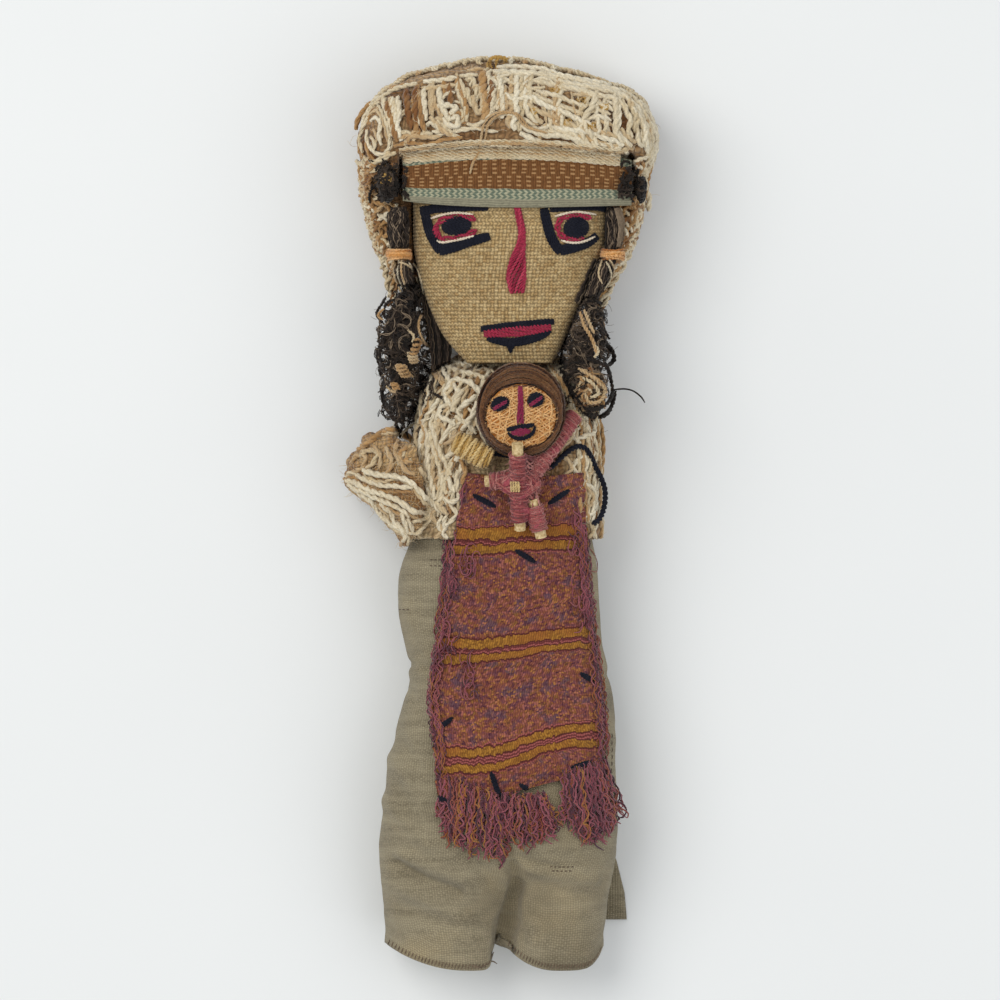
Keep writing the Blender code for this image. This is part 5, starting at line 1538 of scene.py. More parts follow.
def winding(start, end, radius, pitch, tree=None, dice=None, lift=0.0):
    """A thread wound round a bar. Its radius is read from a solid where a tree is given."""
    along = (end - start).normalized()
    side = along.orthogonal().normalized()
    up = along.cross(side)
    count = max(12, int((end - start).length / (abs(pitch) * MM) * 14))
    found = []
    drift = 0.0
    for n in range(count + 1):
        turn = math.copysign(math.tau * n / 14, pitch)
        away = math.cos(turn) * side + math.sin(turn) * up
        middle = start.lerp(end, n / count)
        if dice is not None and n % 14 == 0:
            drift = dice.uniform(-0.12, 0.12)
        reach = radius * MM
        if tree is not None:
            hit = skin_from(tree, middle, away)
            reach = reach if hit is None else (hit - middle).length
        found.append(middle + away * (reach + (lift + drift) * MM))
    return np.array(found)


def make_forearm(dice):
    """The forearm under its close winding of tan yarn."""
    start, end = axis_of("forearm")
    tree = tree_of(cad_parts["forearm"])
    runs = [winding(start.lerp(end, 0.03), start.lerp(end, 0.97), 3.6, pitch, tree, dice, lift)
            for pitch, lift in ((1.0, 0.0), (2.3, 0.35), (-3.1, 0.5))]
    settled(spin("forearm_winding", runs, tan_yarn, 0.42, plies=2, spread=0.25, step=0.7, wander=0.7,
                 tones=[0.3, 0.7, 0.95]), "tan_yarn")


# The apron
APRON_COLUMNS, APRON_ROWS = 210, 240
APRON_CLOTH = 1.45 * MM
DRAPE_ROWS = (500, 540, 645, 658, 750, 790)  # pixel rows of the apron, and how far each rises to the right
DRAPE_RISES = (2, 5, 13, 17, 26, 27)


def drape_rise(px, py):
    """How far the apron's rows rise towards its right side, in pixels."""
    share = np.clip((px - 480.0) / 95.0, 0.0, 1.0)
    return np.interp(py, DRAPE_ROWS, DRAPE_RISES) * share * share * (3 - 2 * share)


def apron_outline():
    """The apron solid's edges: left and right for rows, bottom and top for shares across."""
    tree = tree_of(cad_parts["apron"])
    low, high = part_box("apron")
    rows = np.linspace(low.y + 0.4 * MM, high.y - 0.4 * MM, 60)
    across = np.arange(low.x - MM, high.x + MM, 0.25 * MM)
    edges = []
    for y in rows:
        there = [x for x in across if top(tree, x, y, -1.0) > 0]
        edges.append((there[0], there[-1]))
    edges = np.array(edges)
    columns = np.linspace(low.x + 0.6 * MM, high.x - 0.6 * MM, 40)
    ends = []
    for x in columns:
        there = [y for y in np.arange(low.y - MM, high.y + MM, 0.5 * MM) if top(tree, x, y, -1.0) > 0]
        ends.append((there[0], there[-1]))
    return tree, rows, edges, columns, np.array(ends)


def make_apron():
    """A tapestry cloth with upright ribs, draped over the shawl's front and the skirt."""
    tree, rows, edges, columns, ends = apron_outline()
    foot_left, foot_right = edges[6]
    head_left, head_right = edges[-1]

    def place(u, v):
        x_foot = foot_left + (foot_right - foot_left) * u
        x_head = head_left + (head_right - head_left) * u
        foot = np.interp(x_foot, columns, ends[:, 0])
        head = np.interp(x_head, columns, ends[:, 1])
        y = foot + (head - foot) * v
        left, right = np.interp(y, rows, edges[:, 0]), np.interp(y, rows, edges[:, 1])
        return left + (right - left) * u, y

    coarse = []
    for v in np.linspace(0.0, 1.0, 48):
        line = []
        for u in np.linspace(0.0, 1.0, 22):
            x, y = place(u, v)
            inside = x + (0.5 - u) * 1.4 * MM, y + (0.5 - v) * 1.4 * MM
            line.append((x, y, top(tree, *inside, 40 * MM)))
        coarse.append(line)
    coarse = np.array(coarse)
    tall = eased(coarse, np.linspace(0, 47, APRON_ROWS))
    fine = eased(tall.transpose(1, 0, 2), np.linspace(0, 21, APRON_COLUMNS)).transpose(1, 0, 2)
    u = np.linspace(0.0, 1.0, APRON_COLUMNS)[None, :]
    ragged = np.array([noise.noise((0.0, y / (1.8 * MM), 0.0)) + 0.8 * noise.noise((5.0, y / (5 * MM), 0.0))
                       for y in fine[:, 0, 1]])[:, None]
    fine[:, :, 0] += ragged * 0.8 * MM * (np.maximum(0.0, 1 - u * 9) - np.maximum(0.0, 1 - (1 - u) * 9))
    across = (fine[:, :, 0] - fine[:, :1, 0]) / MM
    px = fine[:, :, 0] / PIXEL + PHOTO_MIDDLE_X
    py = PHOTO_MIDDLE_Y - fine[:, :, 1] / PIXEL
    down = py + drape_rise(px, py)
    rib = np.abs(np.sin(math.pi * across / APRON_RIB))
    rows_wave = 0.6 + 0.4 * np.sin(down * math.tau / 4.8 + np.floor(across / APRON_RIB) * math.pi)
    puff = lumps(fine, 12.0) * 1.1 + lumps(fine * (1.0, 2.2, 1.0), 6.0, 3.0) * 0.3
    stripe = sum(np.exp(-(((down - middle) / (half * 1.3)) ** 2)) for middle, half in GOLD_STRIPES)
    fine[:, :, 2] += (0.26 * rib * rows_wave + puff + 0.45 * stripe - 0.4) * MM
    bm = bmesh.new()
    uv = bm.loops.layers.uv.new("cloth")
    over = [[bm.verts.new(p) for p in line] for line in fine]
    marks = {}
    for i in range(APRON_ROWS):
        for j in range(APRON_COLUMNS):
            marks[over[i][j]] = (across[i, j], down[i, j])
    under = []
    for i in range(48):
        line = []
        upper = fine[round(i * (APRON_ROWS - 1) / 47)]
        for j in range(22):
            x, y, _ = upper[round(j * (APRON_COLUMNS - 1) / 21)]
            vert = bm.verts.new((x, y, coarse[i][j][2] - APRON_CLOTH))
            line.append(vert)
            marks[vert] = ((x - upper[0][0]) / MM, PHOTO_MIDDLE_Y - y / PIXEL)
        under.append(line)
    for sheet, flip in ((over, False), (under, True)):
        for a, b in zip(sheet, sheet[1:]):
            for j in range(len(a) - 1):
                corners = (a[j], a[j + 1], b[j + 1], b[j])
                bm.faces.new(corners[::-1] if flip else corners)
    bmesh.ops.bridge_loops(bm, edges=[e for e in bm.edges if e.is_boundary])
    for face in bm.faces:
        face.smooth = True
        for loop in face.loops:
            loop[uv].uv = marks[loop.vert]
    bmesh.ops.recalc_face_normals(bm, faces=bm.faces)
    mesh = bpy.data.meshes.new("apron_cloth")
    bm.to_mesh(mesh)
    bm.free()
    mesh.materials.append(apron_finish())
    apron = linked("apron_cloth", mesh)
    settled(apron, "tapestry", "apron")
    return apron


# Each bunch of the fringe: head and foot from left to right in pixels, and its strands
FRINGES = (
    ("left", ((438, 768), (500, 792)), ((441, 828), (450, 846), (466, 856), (484, 858), (506, 866)), 120),
    ("middle", ((503, 790), (546, 791)), ((496, 832), (506, 842), (524, 850), (545, 846), (558, 836)), 110),
    ("right", ((562, 768), (604, 756)), ((562, 826), (578, 838), (594, 849), (606, 840), (624, 824)), 110),
)


def make_fringes(tunic, dice):
    """Three bunches of thin, curling warp ends, in the apron's colours."""
    tree = tree_of(tunic)
    for side, head, foot, count in FRINGES:
        strands, tones = [], []
        for k in range(count):
            u = (k + dice.uniform(0, 1)) / count
            start = np.array(head[0]) * (1 - u) + np.array(head[1]) * u + (0, dice.uniform(-3, 6))
            marks = np.linspace(0, 1, len(foot))
            aim = min(1.0, max(0.0, u + dice.uniform(-0.16, 0.16)))
            end = np.array([np.interp(aim, marks, places) for places in zip(*foot)])
            end += dice.uniform(-4, 4, 2) - (0, abs(dice.normal(0, 12)))
            wave, phase, turns = dice.uniform(1.0, 4.5), dice.uniform(0, math.tau), dice.uniform(1.5, 5.0)
            height, crimp = dice.uniform(0.2, 3.0), dice.uniform(0.4, 1.6)
            route = []
            for share in np.linspace(0.0, 1.0, 22):
                x, y = start * (1 - share) + end * share
                curl = wave * (0.2 + share) * math.sin(math.tau * turns * share + phase)
                curl += crimp * math.sin(math.tau * 8 * share + 2 * phase)
                lift = height * math.sin(math.pi * (0.25 + 0.6 * share)) + 1.8 * (1 - share) ** 3
                route.append((x + curl, y + 0.7 * wave * math.cos(math.tau * turns * share), lift))
            strands.append(laid(route, tree, 0.4, least=24.0))
            tones.append(dice.choice((0.02, 0.12, 0.25, 0.35, 0.45, 0.55, 0.7, 0.9)))
        yarn = spin(f"fringe_{side}_yarn", strands, tapestry_yarn, 0.3, plies=1, step=0.8, tones=tones,
                    wander=0.6)
        settled(yarn, "tapestry", f"fringe_{side}")


# The apron's frayed edges in pixels, loose ends on its face, and one long loose thread
EDGE_LEFT = ((463, 480), (449, 520), (443, 598), (436, 640), (431, 700), (436, 745), (438, 772))
EDGE_RIGHT = ((578, 500), (587, 545), (590, 590), (596, 640), (602, 700), (606, 740), (605, 762))
INNER_FRAYS = (
    ((464, 552), (477, 570)), ((462, 660), (478, 700)), ((572, 524), (584, 560)), ((574, 570), (586, 622)),
    ((444, 600), (456, 660)), ((446, 560), (458, 600)),
)
THIN_BROWN = ((583, 544), (592, 551), (598, 562), (597, 572), (589, 570))


def make_frays(apron, tunic, dice):
    """Threads that have come loose along the apron's edges and on its face."""
    tree = tree_of(apron, tunic)
    threads, tones = [], []
    for edge, side, count in ((EDGE_LEFT, -1, 130), (EDGE_RIGHT, 1, 110)):
        marks, rows = zip(*edge)
        for _ in range(count):
            head, run = dice.uniform(rows[0], rows[-1] - 14), dice.uniform(12, 60)
            aside, wave, phase = dice.uniform(-7, 3), dice.uniform(1.0, 3.6), dice.uniform(0, math.tau)
            rate = dice.uniform(0.25, 0.6)
            route = []
            for share in np.linspace(0, 1, 10):
                y = min(head + run * share, rows[-1] + 6)
                x = np.interp(y, rows, marks) + side * aside + wave * math.sin(phase + rate * run * share)
                route.append((x, y, 0.2 + 0.9 * math.sin(math.pi * share)))
            threads.append(laid(route, tree, 0.3))
            tones.append(dice.choice((0.02, 0.15, 0.3, 0.45, 0.55, 0.8)))
    for (x0, y0), (x1, y1) in INNER_FRAYS:
        for _ in range(14):
            x, y = dice.uniform(x0, x1), dice.uniform(y0, y1)
            turn = dice.uniform(0, math.tau)
            route = [(x + 5 * s * math.cos(turn + 2.2 * s), y + 9 * s * math.sin(turn + 2.2 * s), 0.7)
                     for s in (0.0, 0.4, 0.8, 1.2, 1.6)]
            threads.append(laid(route, tree, 0.3))
            tones.append(dice.choice((0.05, 0.3, 0.45, 0.55)))
    threads.append(laid([(x, y, 1.0) for x, y in THIN_BROWN], tree, 0.4))
    tones.append(0.7)
    settled(spin("apron_frays", threads, tapestry_yarn, 0.21, plies=1, step=0.8, tones=tones), "tapestry")


# Dark stitches through the apron: both ends in pixels
STITCHES = (
    ((473, 495), (496, 507)), ((548, 504), (569, 490)), ((515, 550), (535, 562)), ((445, 567), (449, 580)),
    ((580, 673), (593, 681)), ((438, 728), (453, 717)), ((570, 768), (591, 761)), ((491, 771), (500, 796)),
    ((519, 783), (541, 798)), ((437, 795), (450, 803)),
)
STITCH_ORDER = (1, 2, 3, 4, 5, 6, 9, 7, 8, 10)


def make_stitches(apron):
    """Short dark stitches, thick in the middle and sunk at both ends."""
    tree = tree_of(apron)
    for number, ((x0, y0), (x1, y1)) in zip(STITCH_ORDER, STITCHES):
        runs = []
        across = np.array([y0 - y1, x1 - x0]) / math.hypot(x1 - x0, y1 - y0)
        for offset in (-1.5, 0.0, 1.5):
            route = []
            for s in np.linspace(0, 1, 7):
                swell = math.sin(math.pi * s)
                middle = np.array([x0 + (x1 - x0) * s, y0 + (y1 - y0) * s])
                x, y = middle + across * offset * (0.3 + 0.7 * swell)
                route.append((x, y, 0.9 * swell - 0.6))
            runs.append(laid(route, tree, 0.5, least=20.0))
        stitch = spin(f"stitch_{number}", runs, dark_yarn, 0.34, pitch=2.4, step=0.6, wander=0.5)
        settled(stitch, "dark_yarn", f"apron_stitch_{number}")


# Hair
HAIR_TASSELS = (
    # node, middle and half sizes of the tangle in pixels
    ("left", (407, 352), (26, 64)),
    ("right", (584, 352), (20, 58)),
)
LEFT_STRANDS = (
    ((447, 290), (452, 310), (440, 330)), ((386, 296), (376, 312), (384, 324)),
    ((388, 330), (379, 345), (377, 360), (384, 372)), ((393, 326), (383, 343), (380, 358), (391, 372)),
    ((386, 376), (380, 388), (384, 400), (390, 410)),
    ((392, 380), (382, 390), (383, 404), (394, 418), (404, 424)),
    ((400, 396), (390, 402), (392, 418), (402, 422)), ((384, 362), (379, 372), (386, 380)),
    ((430, 392), (444, 400), (440, 416)), ((402, 300), (388, 302), (384, 316), (396, 322)),
)
LOCKS = (("hair_left", 150), ("hair_left_lower", 110), ("hair_right", 110), ("hair_right_lower", 110))
LOWER_LOCKS = {
    "hair_left_lower": ((407, 260), (411, 280), (416, 306)),
    "hair_right_lower": ((601, 260), (594, 282), (584, 306)),
}
PALE_COILS = (  # middle of each coil, its half width, its length, its turns and its lean
    (416, 347, 4.0, 13, 3, -5), (413, 358, 4.6, 9, 3, 3), (404, 371, 5.2, 13, 4, 8),
    (395, 386, 3.6, 7, 2, 3),
)
LEFT_PALE = (  # threads caught in the left tangle: tone, route
    (.45, ((424, 310), (419, 322), (420, 334), (426, 344), (438, 347))),
    (.35, ((424, 314), (428, 326), (426, 340))), (.6, ((408, 330), (414, 336), (412, 342))),
    (.4, ((384, 309), (378, 315), (383, 320))), (.5, ((386, 386), (394, 392), (398, 385))),
    (.45, ((432, 362), (438, 372), (444, 382))), (.9, ((400, 434), (412, 424), (424, 420), (432, 418))),
)
COIL_TONES = (0.3, 0.55, 0.45, 0.3)
CHEEK_LOCK = ((424, 282), (434, 312), (441, 346), (438, 386))
RIGHT_LOOPS = (
    ((564, 356), (565, 374), (573, 392), (584, 407), (594, 415), (604, 416), (611, 409), (613, 396),
        (612, 381), (607, 369), (598, 363), (587, 359)),
    ((562, 352), (562, 372), (570, 392), (582, 410), (593, 417), (605, 414), (613, 404), (616, 390)),
    ((584, 409), (598, 409), (609, 401), (614, 389)), ((601, 322), (606, 332), (610, 338)),
    ((607, 345), (613, 352), (614, 359), (609, 365)),
    ((600, 330), (604, 340), (613, 350), (615, 360), (606, 366)),
)
RIGHT_STRAY = ((614, 389), (625, 388), (634, 390), (642, 396), (646, 402))
RIGHT_TAN = (
    ((578, 369), (587, 374), (596, 381), (604, 390), (600, 401), (589, 403), (584, 394)),
    ((582, 378), (592, 384), (598, 394), (590, 398)), ((594, 345), (598, 352), (594, 358)),
    ((580, 312), (584, 326), (592, 340), (596, 354)), ((584, 310), (590, 326), (594, 334)),
    ((590, 376), (602, 384), (606, 394)),
)
WHITE_LOCK = ((616, 206), (622, 226), (620, 244), (617, 254))
TIE_ENDS = (
    ((396, 256), (394, 272), (400, 290), (405, 299)), ((399, 256), (398, 274), (404, 292)),
    ((402, 257), (402, 274), (408, 296)), ((408, 262), (416, 276), (420, 292), (424, 300)),
    ((410, 258), (418, 270), (422, 286), (424, 300)), ((394, 258), (392, 270), (396, 282)),
    ((398, 262), (408, 266), (414, 272)), ((608, 258), (614, 270), (610, 282)),
    ((602, 260), (598, 274), (602, 284)), ((606, 262), (611, 276), (604, 290)),
)


def strands_in(node, count, dice, wave=0.8, inset=0.9):
    """Fibres that fill a lock's solid from end to end."""
    points = np.array([v.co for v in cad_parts[node].data.vertices])
    head, foot = axis_of(node)
    steps = 14
    found = []
    middles, sides, highs = [], [], []
    for n in range(steps):
        here = head.lerp(foot, (n + 0.3) / (steps - 0.4))
        near = points[np.abs(points[:, 1] - here.y) < (head.y - foot.y) / steps * 1.3]
        if len(near) < 3:
            near = points[np.argsort(np.abs(points[:, 1] - here.y))[:8]]
        low, high = near.min(axis=0), near.max(axis=0)
        middles.append(((low[0] + high[0]) / 2, here.y, (low[2] + high[2]) / 2))
        sides.append((high[0] - low[0]) / 2)
        highs.append((high[2] - low[2]) / 2)
    for _ in range(count):
        around = dice.uniform(0.0, math.tau)
        away = inset * math.sqrt(dice.uniform(0.35, 1.0))
        phase, turns = dice.uniform(0, math.tau), dice.uniform(0.6, 1.8)
        route = []
        for n, (x, y, z) in enumerate(middles):
            share = n / (steps - 1)
            swing = around + 0.35 * math.sin(math.tau * turns * share + phase)
            reach = away * (1.0 + 0.12 * wave * math.sin(5 * share * math.tau + phase))
            route.append((x + sides[n] * reach * math.cos(swing), y, z + highs[n] * reach * math.sin(swing)))
        found.append(curve_through(route, 0.9 * MM))
    return found


def tangled(tree, middle, half, count, dice, size=(6, 16), rise=(0.2, 2.6)):
    """Curls of fibre laid over a tangle: loops and waves of several sizes."""
    found = []
    for _ in range(count):
        a, r = dice.uniform(0, math.tau), math.sqrt(dice.uniform(0, 1))
        x, y = middle[0] + half[0] * r * math.cos(a), middle[1] + half[1] * r * math.sin(a)
        turn, spin_rate = dice.uniform(0, math.tau), dice.uniform(-1.3, 1.3)
        reach = dice.uniform(*size)
        lift = dice.uniform(*rise)
        route = []
        for s in np.linspace(0, 1, 7):
            route.append((x, y, lift * math.sin(math.pi * s)))
            turn += spin_rate * 0.9
            x += reach * 0.45 * math.cos(turn) * 0.8
            y += reach * 0.45 * abs(math.sin(turn)) * dice.choice((1, 1, -0.4))
        if all(abs(p[0] - middle[0]) < half[0] + 6 and abs(p[1] - middle[1]) < half[1] + 7 for p in route):
            found.append(laid(route, tree, 0.3, least=9.0))
    return found


def coil(x, y, wide, tall, turns, lean):
    """Pixels of a thread wound to and fro, as in a small hank."""
    route = []
    for share in np.linspace(-0.5, 0.5, 8 * turns + 1):
        turn = share * turns * math.tau
        across, down = wide * math.cos(turn), 1.6 * math.sin(turn)
        route.append((x + lean * share + across, y + tall * share + down, 0.6 * math.sin(turn)))
    return route


def make_locks(head, dice):
    """Locks of dark fibre at both sides of the face."""
    for lock, count in LOCKS:
        strands = strands_in(lock, count, dice)
        if lock in LOWER_LOCKS:
            tree = tree_of(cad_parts[lock], head, bpy.data.objects["headcloth_falls"])
            for strand in bundle(LOWER_LOCKS[lock], (15, 19, 22), 34):
                strand[:, 0] += dice.uniform(-1.2, 1.2, len(strand))
                strands.append(laid(strand, tree, dice.uniform(0.1, 1.3), least=20.0))
        tones = [dice.choice((0.05, 0.2, 0.3, 0.35, 0.5, 0.75, 0.95)) for _ in strands]
        if lock == "hair_right":
            tree = tree_of(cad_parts[lock])
            for strand in bundle(WHITE_LOCK, (6, 8, 7), 7):
                strands.append(laid(strand, tree, 0.3, least=20.0))
                tones.append(2.2)
        yarn = spin(lock + "_fibres", strands, hair_fibre, 0.24, plies=1, step=0.9, tones=tones, wander=1.6)
        settled(yarn, "dark_hair", lock)


def left_threads(tree):
    """Stray hairs of the left tangle, and the pale threads and small coils that are caught in it."""
    stray = [laid(r, tree, 0.5 + 0.5 * (i % 3), least=12.0) for i, r in enumerate(LEFT_STRANDS)]
    pale = [laid(r, tree, 2.8, least=14.0) for _, r in LEFT_PALE]
    coils = [laid(coil(*place), tree, 3.0, step=0.5, least=14.0) for place in PALE_COILS]
    return [
        spin("stray", stray, hair_fibre, 0.34, pitch=3.0, tones=[0.2] * len(stray), wander=0.6),
        spin("pale", pale, cream_yarn, 0.34, pitch=2.6, tones=[tone for tone, _ in LEFT_PALE], wander=0.6),
        spin("coils", coils, cream_yarn, 0.34, pitch=2.2, step=0.5, tones=COIL_TONES, wander=1.4),
    ]


def right_threads(tree, dice):
    """The right tangle's pale heart, its long loops, one stray end and tan threads."""
    heart = tangled(tree, (590, 386), (12, 20), 70, dice, size=(5, 13), rise=(0.6, 2.4))
    loops = [laid(r, tree, 2.2 + 0.3 * (i % 3), least=14.0) for i, r in enumerate(RIGHT_LOOPS)]
    stray = [laid(RIGHT_STRAY, tree, 0.6, least=10.0)]
    tan = [laid(r, tree, 2.6, least=14.0) for r in RIGHT_TAN]
    return [
        spin("heart", heart, cream_yarn, 0.3, pitch=3.0, step=0.9, wander=0.6,
             tones=dice.uniform(0.0, 0.6, len(heart)).tolist()),
        spin("loops", loops, hair_fibre, 0.42, pitch=3.0, tones=[0.1] * len(loops), wander=0.6),
        spin("stray", stray, hair_fibre, 0.3, plies=1, tones=[0.2]),
        spin("tan", tan, cream_yarn, 0.42, pitch=3.0, tones=[0.45, 0.6, 0.7, 0.4, 0.5, 0.35], wander=0.6),
    ]


def make_tangles(shawl, dice):
    """The loose tangles in which the locks end."""
    for side, middle, half in HAIR_TASSELS:
        node = f"hair_tassel_{side}"
        knit = knit_finish(f"tangle_{side}", "1c1612", "43352a", 1.2)
        core = soft_copy(node + "_core", node, 0.9, knit, ease=3, rough=1.8, size=6.0, inset=3.4)
        tree = tree_of(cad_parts[node], shawl)
        curls = tangled(tree, middle, half, 330, dice, size=(7, 22), rise=(-0.8, 2.6))
        for _ in range(40):
            turn = dice.uniform(0, math.tau)
            x, y = middle[0] + half[0] * math.cos(turn), middle[1] + half[1] * math.sin(turn)
            ring = oval_route(x, y, dice.uniform(3, 9), dice.uniform(3, 7), dice.uniform(0, 180), 9)
            curls.append(laid([(a, b, dice.uniform(-1, 2)) for a, b in ring], tree, 0.2, least=15.0))
        for _ in range(16):
            x, y = middle[0] + dice.uniform(-12, 16), middle[1] + half[1] * 0.8
            end = [(x + 3 * math.sin(k + x), y + 7 * k, 0.5) for k in range(6)]
            curls.append(laid(end, tree, 0.4, least=12.0))
        if side == "left":
            for strand in bundle(CHEEK_LOCK, (10, 20, 20, 10), 24):
                curls.append(laid(strand, tree, dice.uniform(0.0, 2.0), least=26.0))
        tones = [dice.choice((0.0, 0.1, 0.2, 0.35, 0.5, 0.7, 1.0)) for _ in curls]
        fibres = [
            spin("curls", curls, hair_fibre, 0.19, pitch=9.0, step=1.2, sides=3, tones=tones, wander=1.2,
                 spread=0.3),
            fuzzy(curls, 220, 5.0, hair_fibre, 0.6, dice, 0.08, 1.0),
        ]
        fibres += left_threads(tree) if side == "left" else right_threads(tree, dice)
        settled(joined(node + "_fibres", [core, *fibres]), "dark_hair", node)


def make_ties(shawl, head, dice):
    """Orange thread wound round the locks, with ends that hang from it."""
    for side in ("left", "right"):
        node = f"hair_tie_{side}"
        low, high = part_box(node)
        tree = tree_of(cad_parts[node])
        middle = (low + high) / 2
        turns = []
        for k in range(13):
            y = low.y + (high.y - low.y) * (k + 0.5) / 13
            ring = []
            slope = dice.uniform(-0.9, 0.9)
            for n in range(19):
                a = math.tau * n / 18
                away = Vector((math.cos(a), 0.0, math.sin(a)))
                hit = skin_from(tree, Vector((middle.x, y, middle.z)), away)
                if hit is not None:
                    ring.append(hit + away * 0.2 * MM + Vector((0, slope * math.cos(a) * MM, 0)))
            turns.append(np.array(ring))
        lock, falls = bpy.data.objects[f"hair_{side}_lower_fibres"], bpy.data.objects["headcloth_falls"]
        under = tree_of(shawl, head, falls, lock)
        hanging = [laid([(x, y, 0.4) for x, y in r], under, 0.5, least=20.0)
                   for r in TIE_ENDS if (r[0][0] < 500) == (side == "left")]
        threads = joined(node + "_thread", [
            spin("turns", turns, orange_thread, 0.3, plies=2, pitch=2.0, step=0.7, sides=4, wander=0.6,
                 tones=dice.uniform(0.0, 1.1, len(turns)).tolist()),
            spin("ends", hanging, cream_yarn, 0.24, plies=2, pitch=3.0, step=0.7, sides=4, wander=0.6,
                 tones=dice.uniform(0.4, 0.9, len(hanging)).tolist()),
        ])
        settled(threads, "orange_thread", node)


# Knots of the headband
LEFT_KNOT = ((390, 178), (16, 18))
RIGHT_KNOT = ((631, 180), (8, 16))
GOLD_HEART = (387.5, 180.0, 6.0, 6.5)


def make_band_knots(dice):
    """Dark knots of yarn at both ends of the headband, the left one with a gold-brown heart."""
    for side, (middle, half), count in (("left", LEFT_KNOT, 90), ("right", RIGHT_KNOT, 36)):
        node = f"band_knot_{side}"
        knit = knit_finish(f"knot_{side}", "15151a", "39332c", 1.1)
        core = soft_copy(node + "_core", node, 0.8, knit, ease=2, rough=0.5, size=2.6)
        tree = tree_of(core, bpy.data.objects["headcloth_falls"], bpy.data.objects["headband_cloth"])
        loops = tangled(tree, middle, half, count, dice, size=(6, 13), rise=(0.2, 2.2))
        tones = [dice.uniform(-0.1, 0.5) for _ in loops]
        yarn = spin("loops", loops, hair_fibre, 0.36, pitch=3.0, step=1.0, wander=0.8, tones=tones)
        parts = [core, yarn, fuzzy(loops, 80, 3.0, hair_fibre, 0.4, dice, 0.08, 1.0)]
        if side == "left":
            x, y, wide, tall = GOLD_HEART
            heart = [laid(oval_route(x, y, wide * s, tall * s, 20 * s), tree, 1.8 - s, closed=True)
                     for s in (1.0, 0.7, 0.35)]
            parts.append(spin("heart", heart, tan_yarn, 0.42, pitch=2.4, tones=[0.3, 0.5, 0.2]))
        settled(joined(node + "_yarn", parts), "dark_yarn", node)


# The infant
INFANT_X, INFANT_Y = 7.6, 37.3
HOOD_TURNS = 11  # turns of thread on the hood's front
HOOD_WIDE, HOOD_TALL = 15.1, 16.5
FACE_DOWN = 2.2  # how far the face's middle lies below the hood's
WEAVE_WIDE, WEAVE_TALL = 13.4, 11.3  # the crossed threads cover the face and the hood's inner edge
INFANT_EYES = (((500, 404.5), 20, 14, -22), ((535.5, 400.5), 18, 14, -18))
INFANT_EYE_DASHES = (((493, 409), (507, 401)), ((529, 405), (542, 397)))
INFANT_NOSE = ((520, 387), (520.5, 405), (520, 424))
# The dark bar over the infant's mouth, then a dark thread under the mouth that is painted shadow.
INFANT_MOUTH_BAR_AND_SHADOW = (
    ((507, 430), (520, 428), (534, 425)),
    ((508, 433), (514, 438), (523, 439), (532, 434), (535, 427)),
)
INFANT_MOUTH = ((520.5, 432.5), 20, 7, -6)
REEDS = {
    # both ends, then where the winding starts and stops as shares of the length
    "body": ((6.2, 25.4, 59.4), (7.2, -5.4, 48.2), 0.12, 0.9),
    "arm_left": ((-5.4, 11.9, 49.8), (2.2, 12.3, 50.6), 0.26, 1.0),
    "arm_right": ((13.4, 16.8, 49.2), (27.4, 36.6, 42.6), 0.0, 0.96),
    "leg": ((11.6, 5.6, 50.4), (14.8, -8.2, 47.2), 0.16, 0.8),
}


def make_infant_hood(dice):
    """Rings of brown thread wound round the infant's head."""
    both = tree_of(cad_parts["infant_hood"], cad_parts["infant_face"])
    rings = []
    middle_x, middle_y = INFANT_X * MM, INFANT_Y * MM
    for k in range(21):
        share = min(1.0, k / HOOD_TURNS)
        wide = WEAVE_WIDE + (HOOD_WIDE - WEAVE_WIDE + 0.1) * share + (0.15 if k > HOOD_TURNS else 0.0)
        tall = WEAVE_TALL + (HOOD_TALL - WEAVE_TALL + 0.1) * share + (0.15 if k > HOOD_TURNS else 0.0)
        down = FACE_DOWN * (1 - share)
        ring = []
        phase, swing = dice.uniform(0, math.tau), dice.uniform(0.1, 0.4)
        for n in range(73):
            a = math.tau * n / 72
            off = swing * math.sin(2 * a + phase)
            x = middle_x + (wide + off) * math.cos(a) * MM
            y = middle_y + ((tall + off) * math.sin(a) - down) * MM
            z = top(both, x, y, 44 * MM) + (0.15 + 0.25 * (k % 2)) * MM
            if k > HOOD_TURNS:
                z = (46.2 + 0.7 * (k - HOOD_TURNS)) * MM
            ring.append((x, y, z))
        rings.append(np.array(ring))
    fine = fuzzy(rings, 260, 1.8, brown_thread, 0.9, dice, step=0.65)
    tones = dice.uniform(0, 1, len(rings)).tolist()
    wound = spin("wound", rings, brown_thread, 0.27, pitch=1.6, step=0.6, wander=1.3, tones=tones)
    settled(joined("infant_hood_thread", [wound, fine]), "brown_thread")


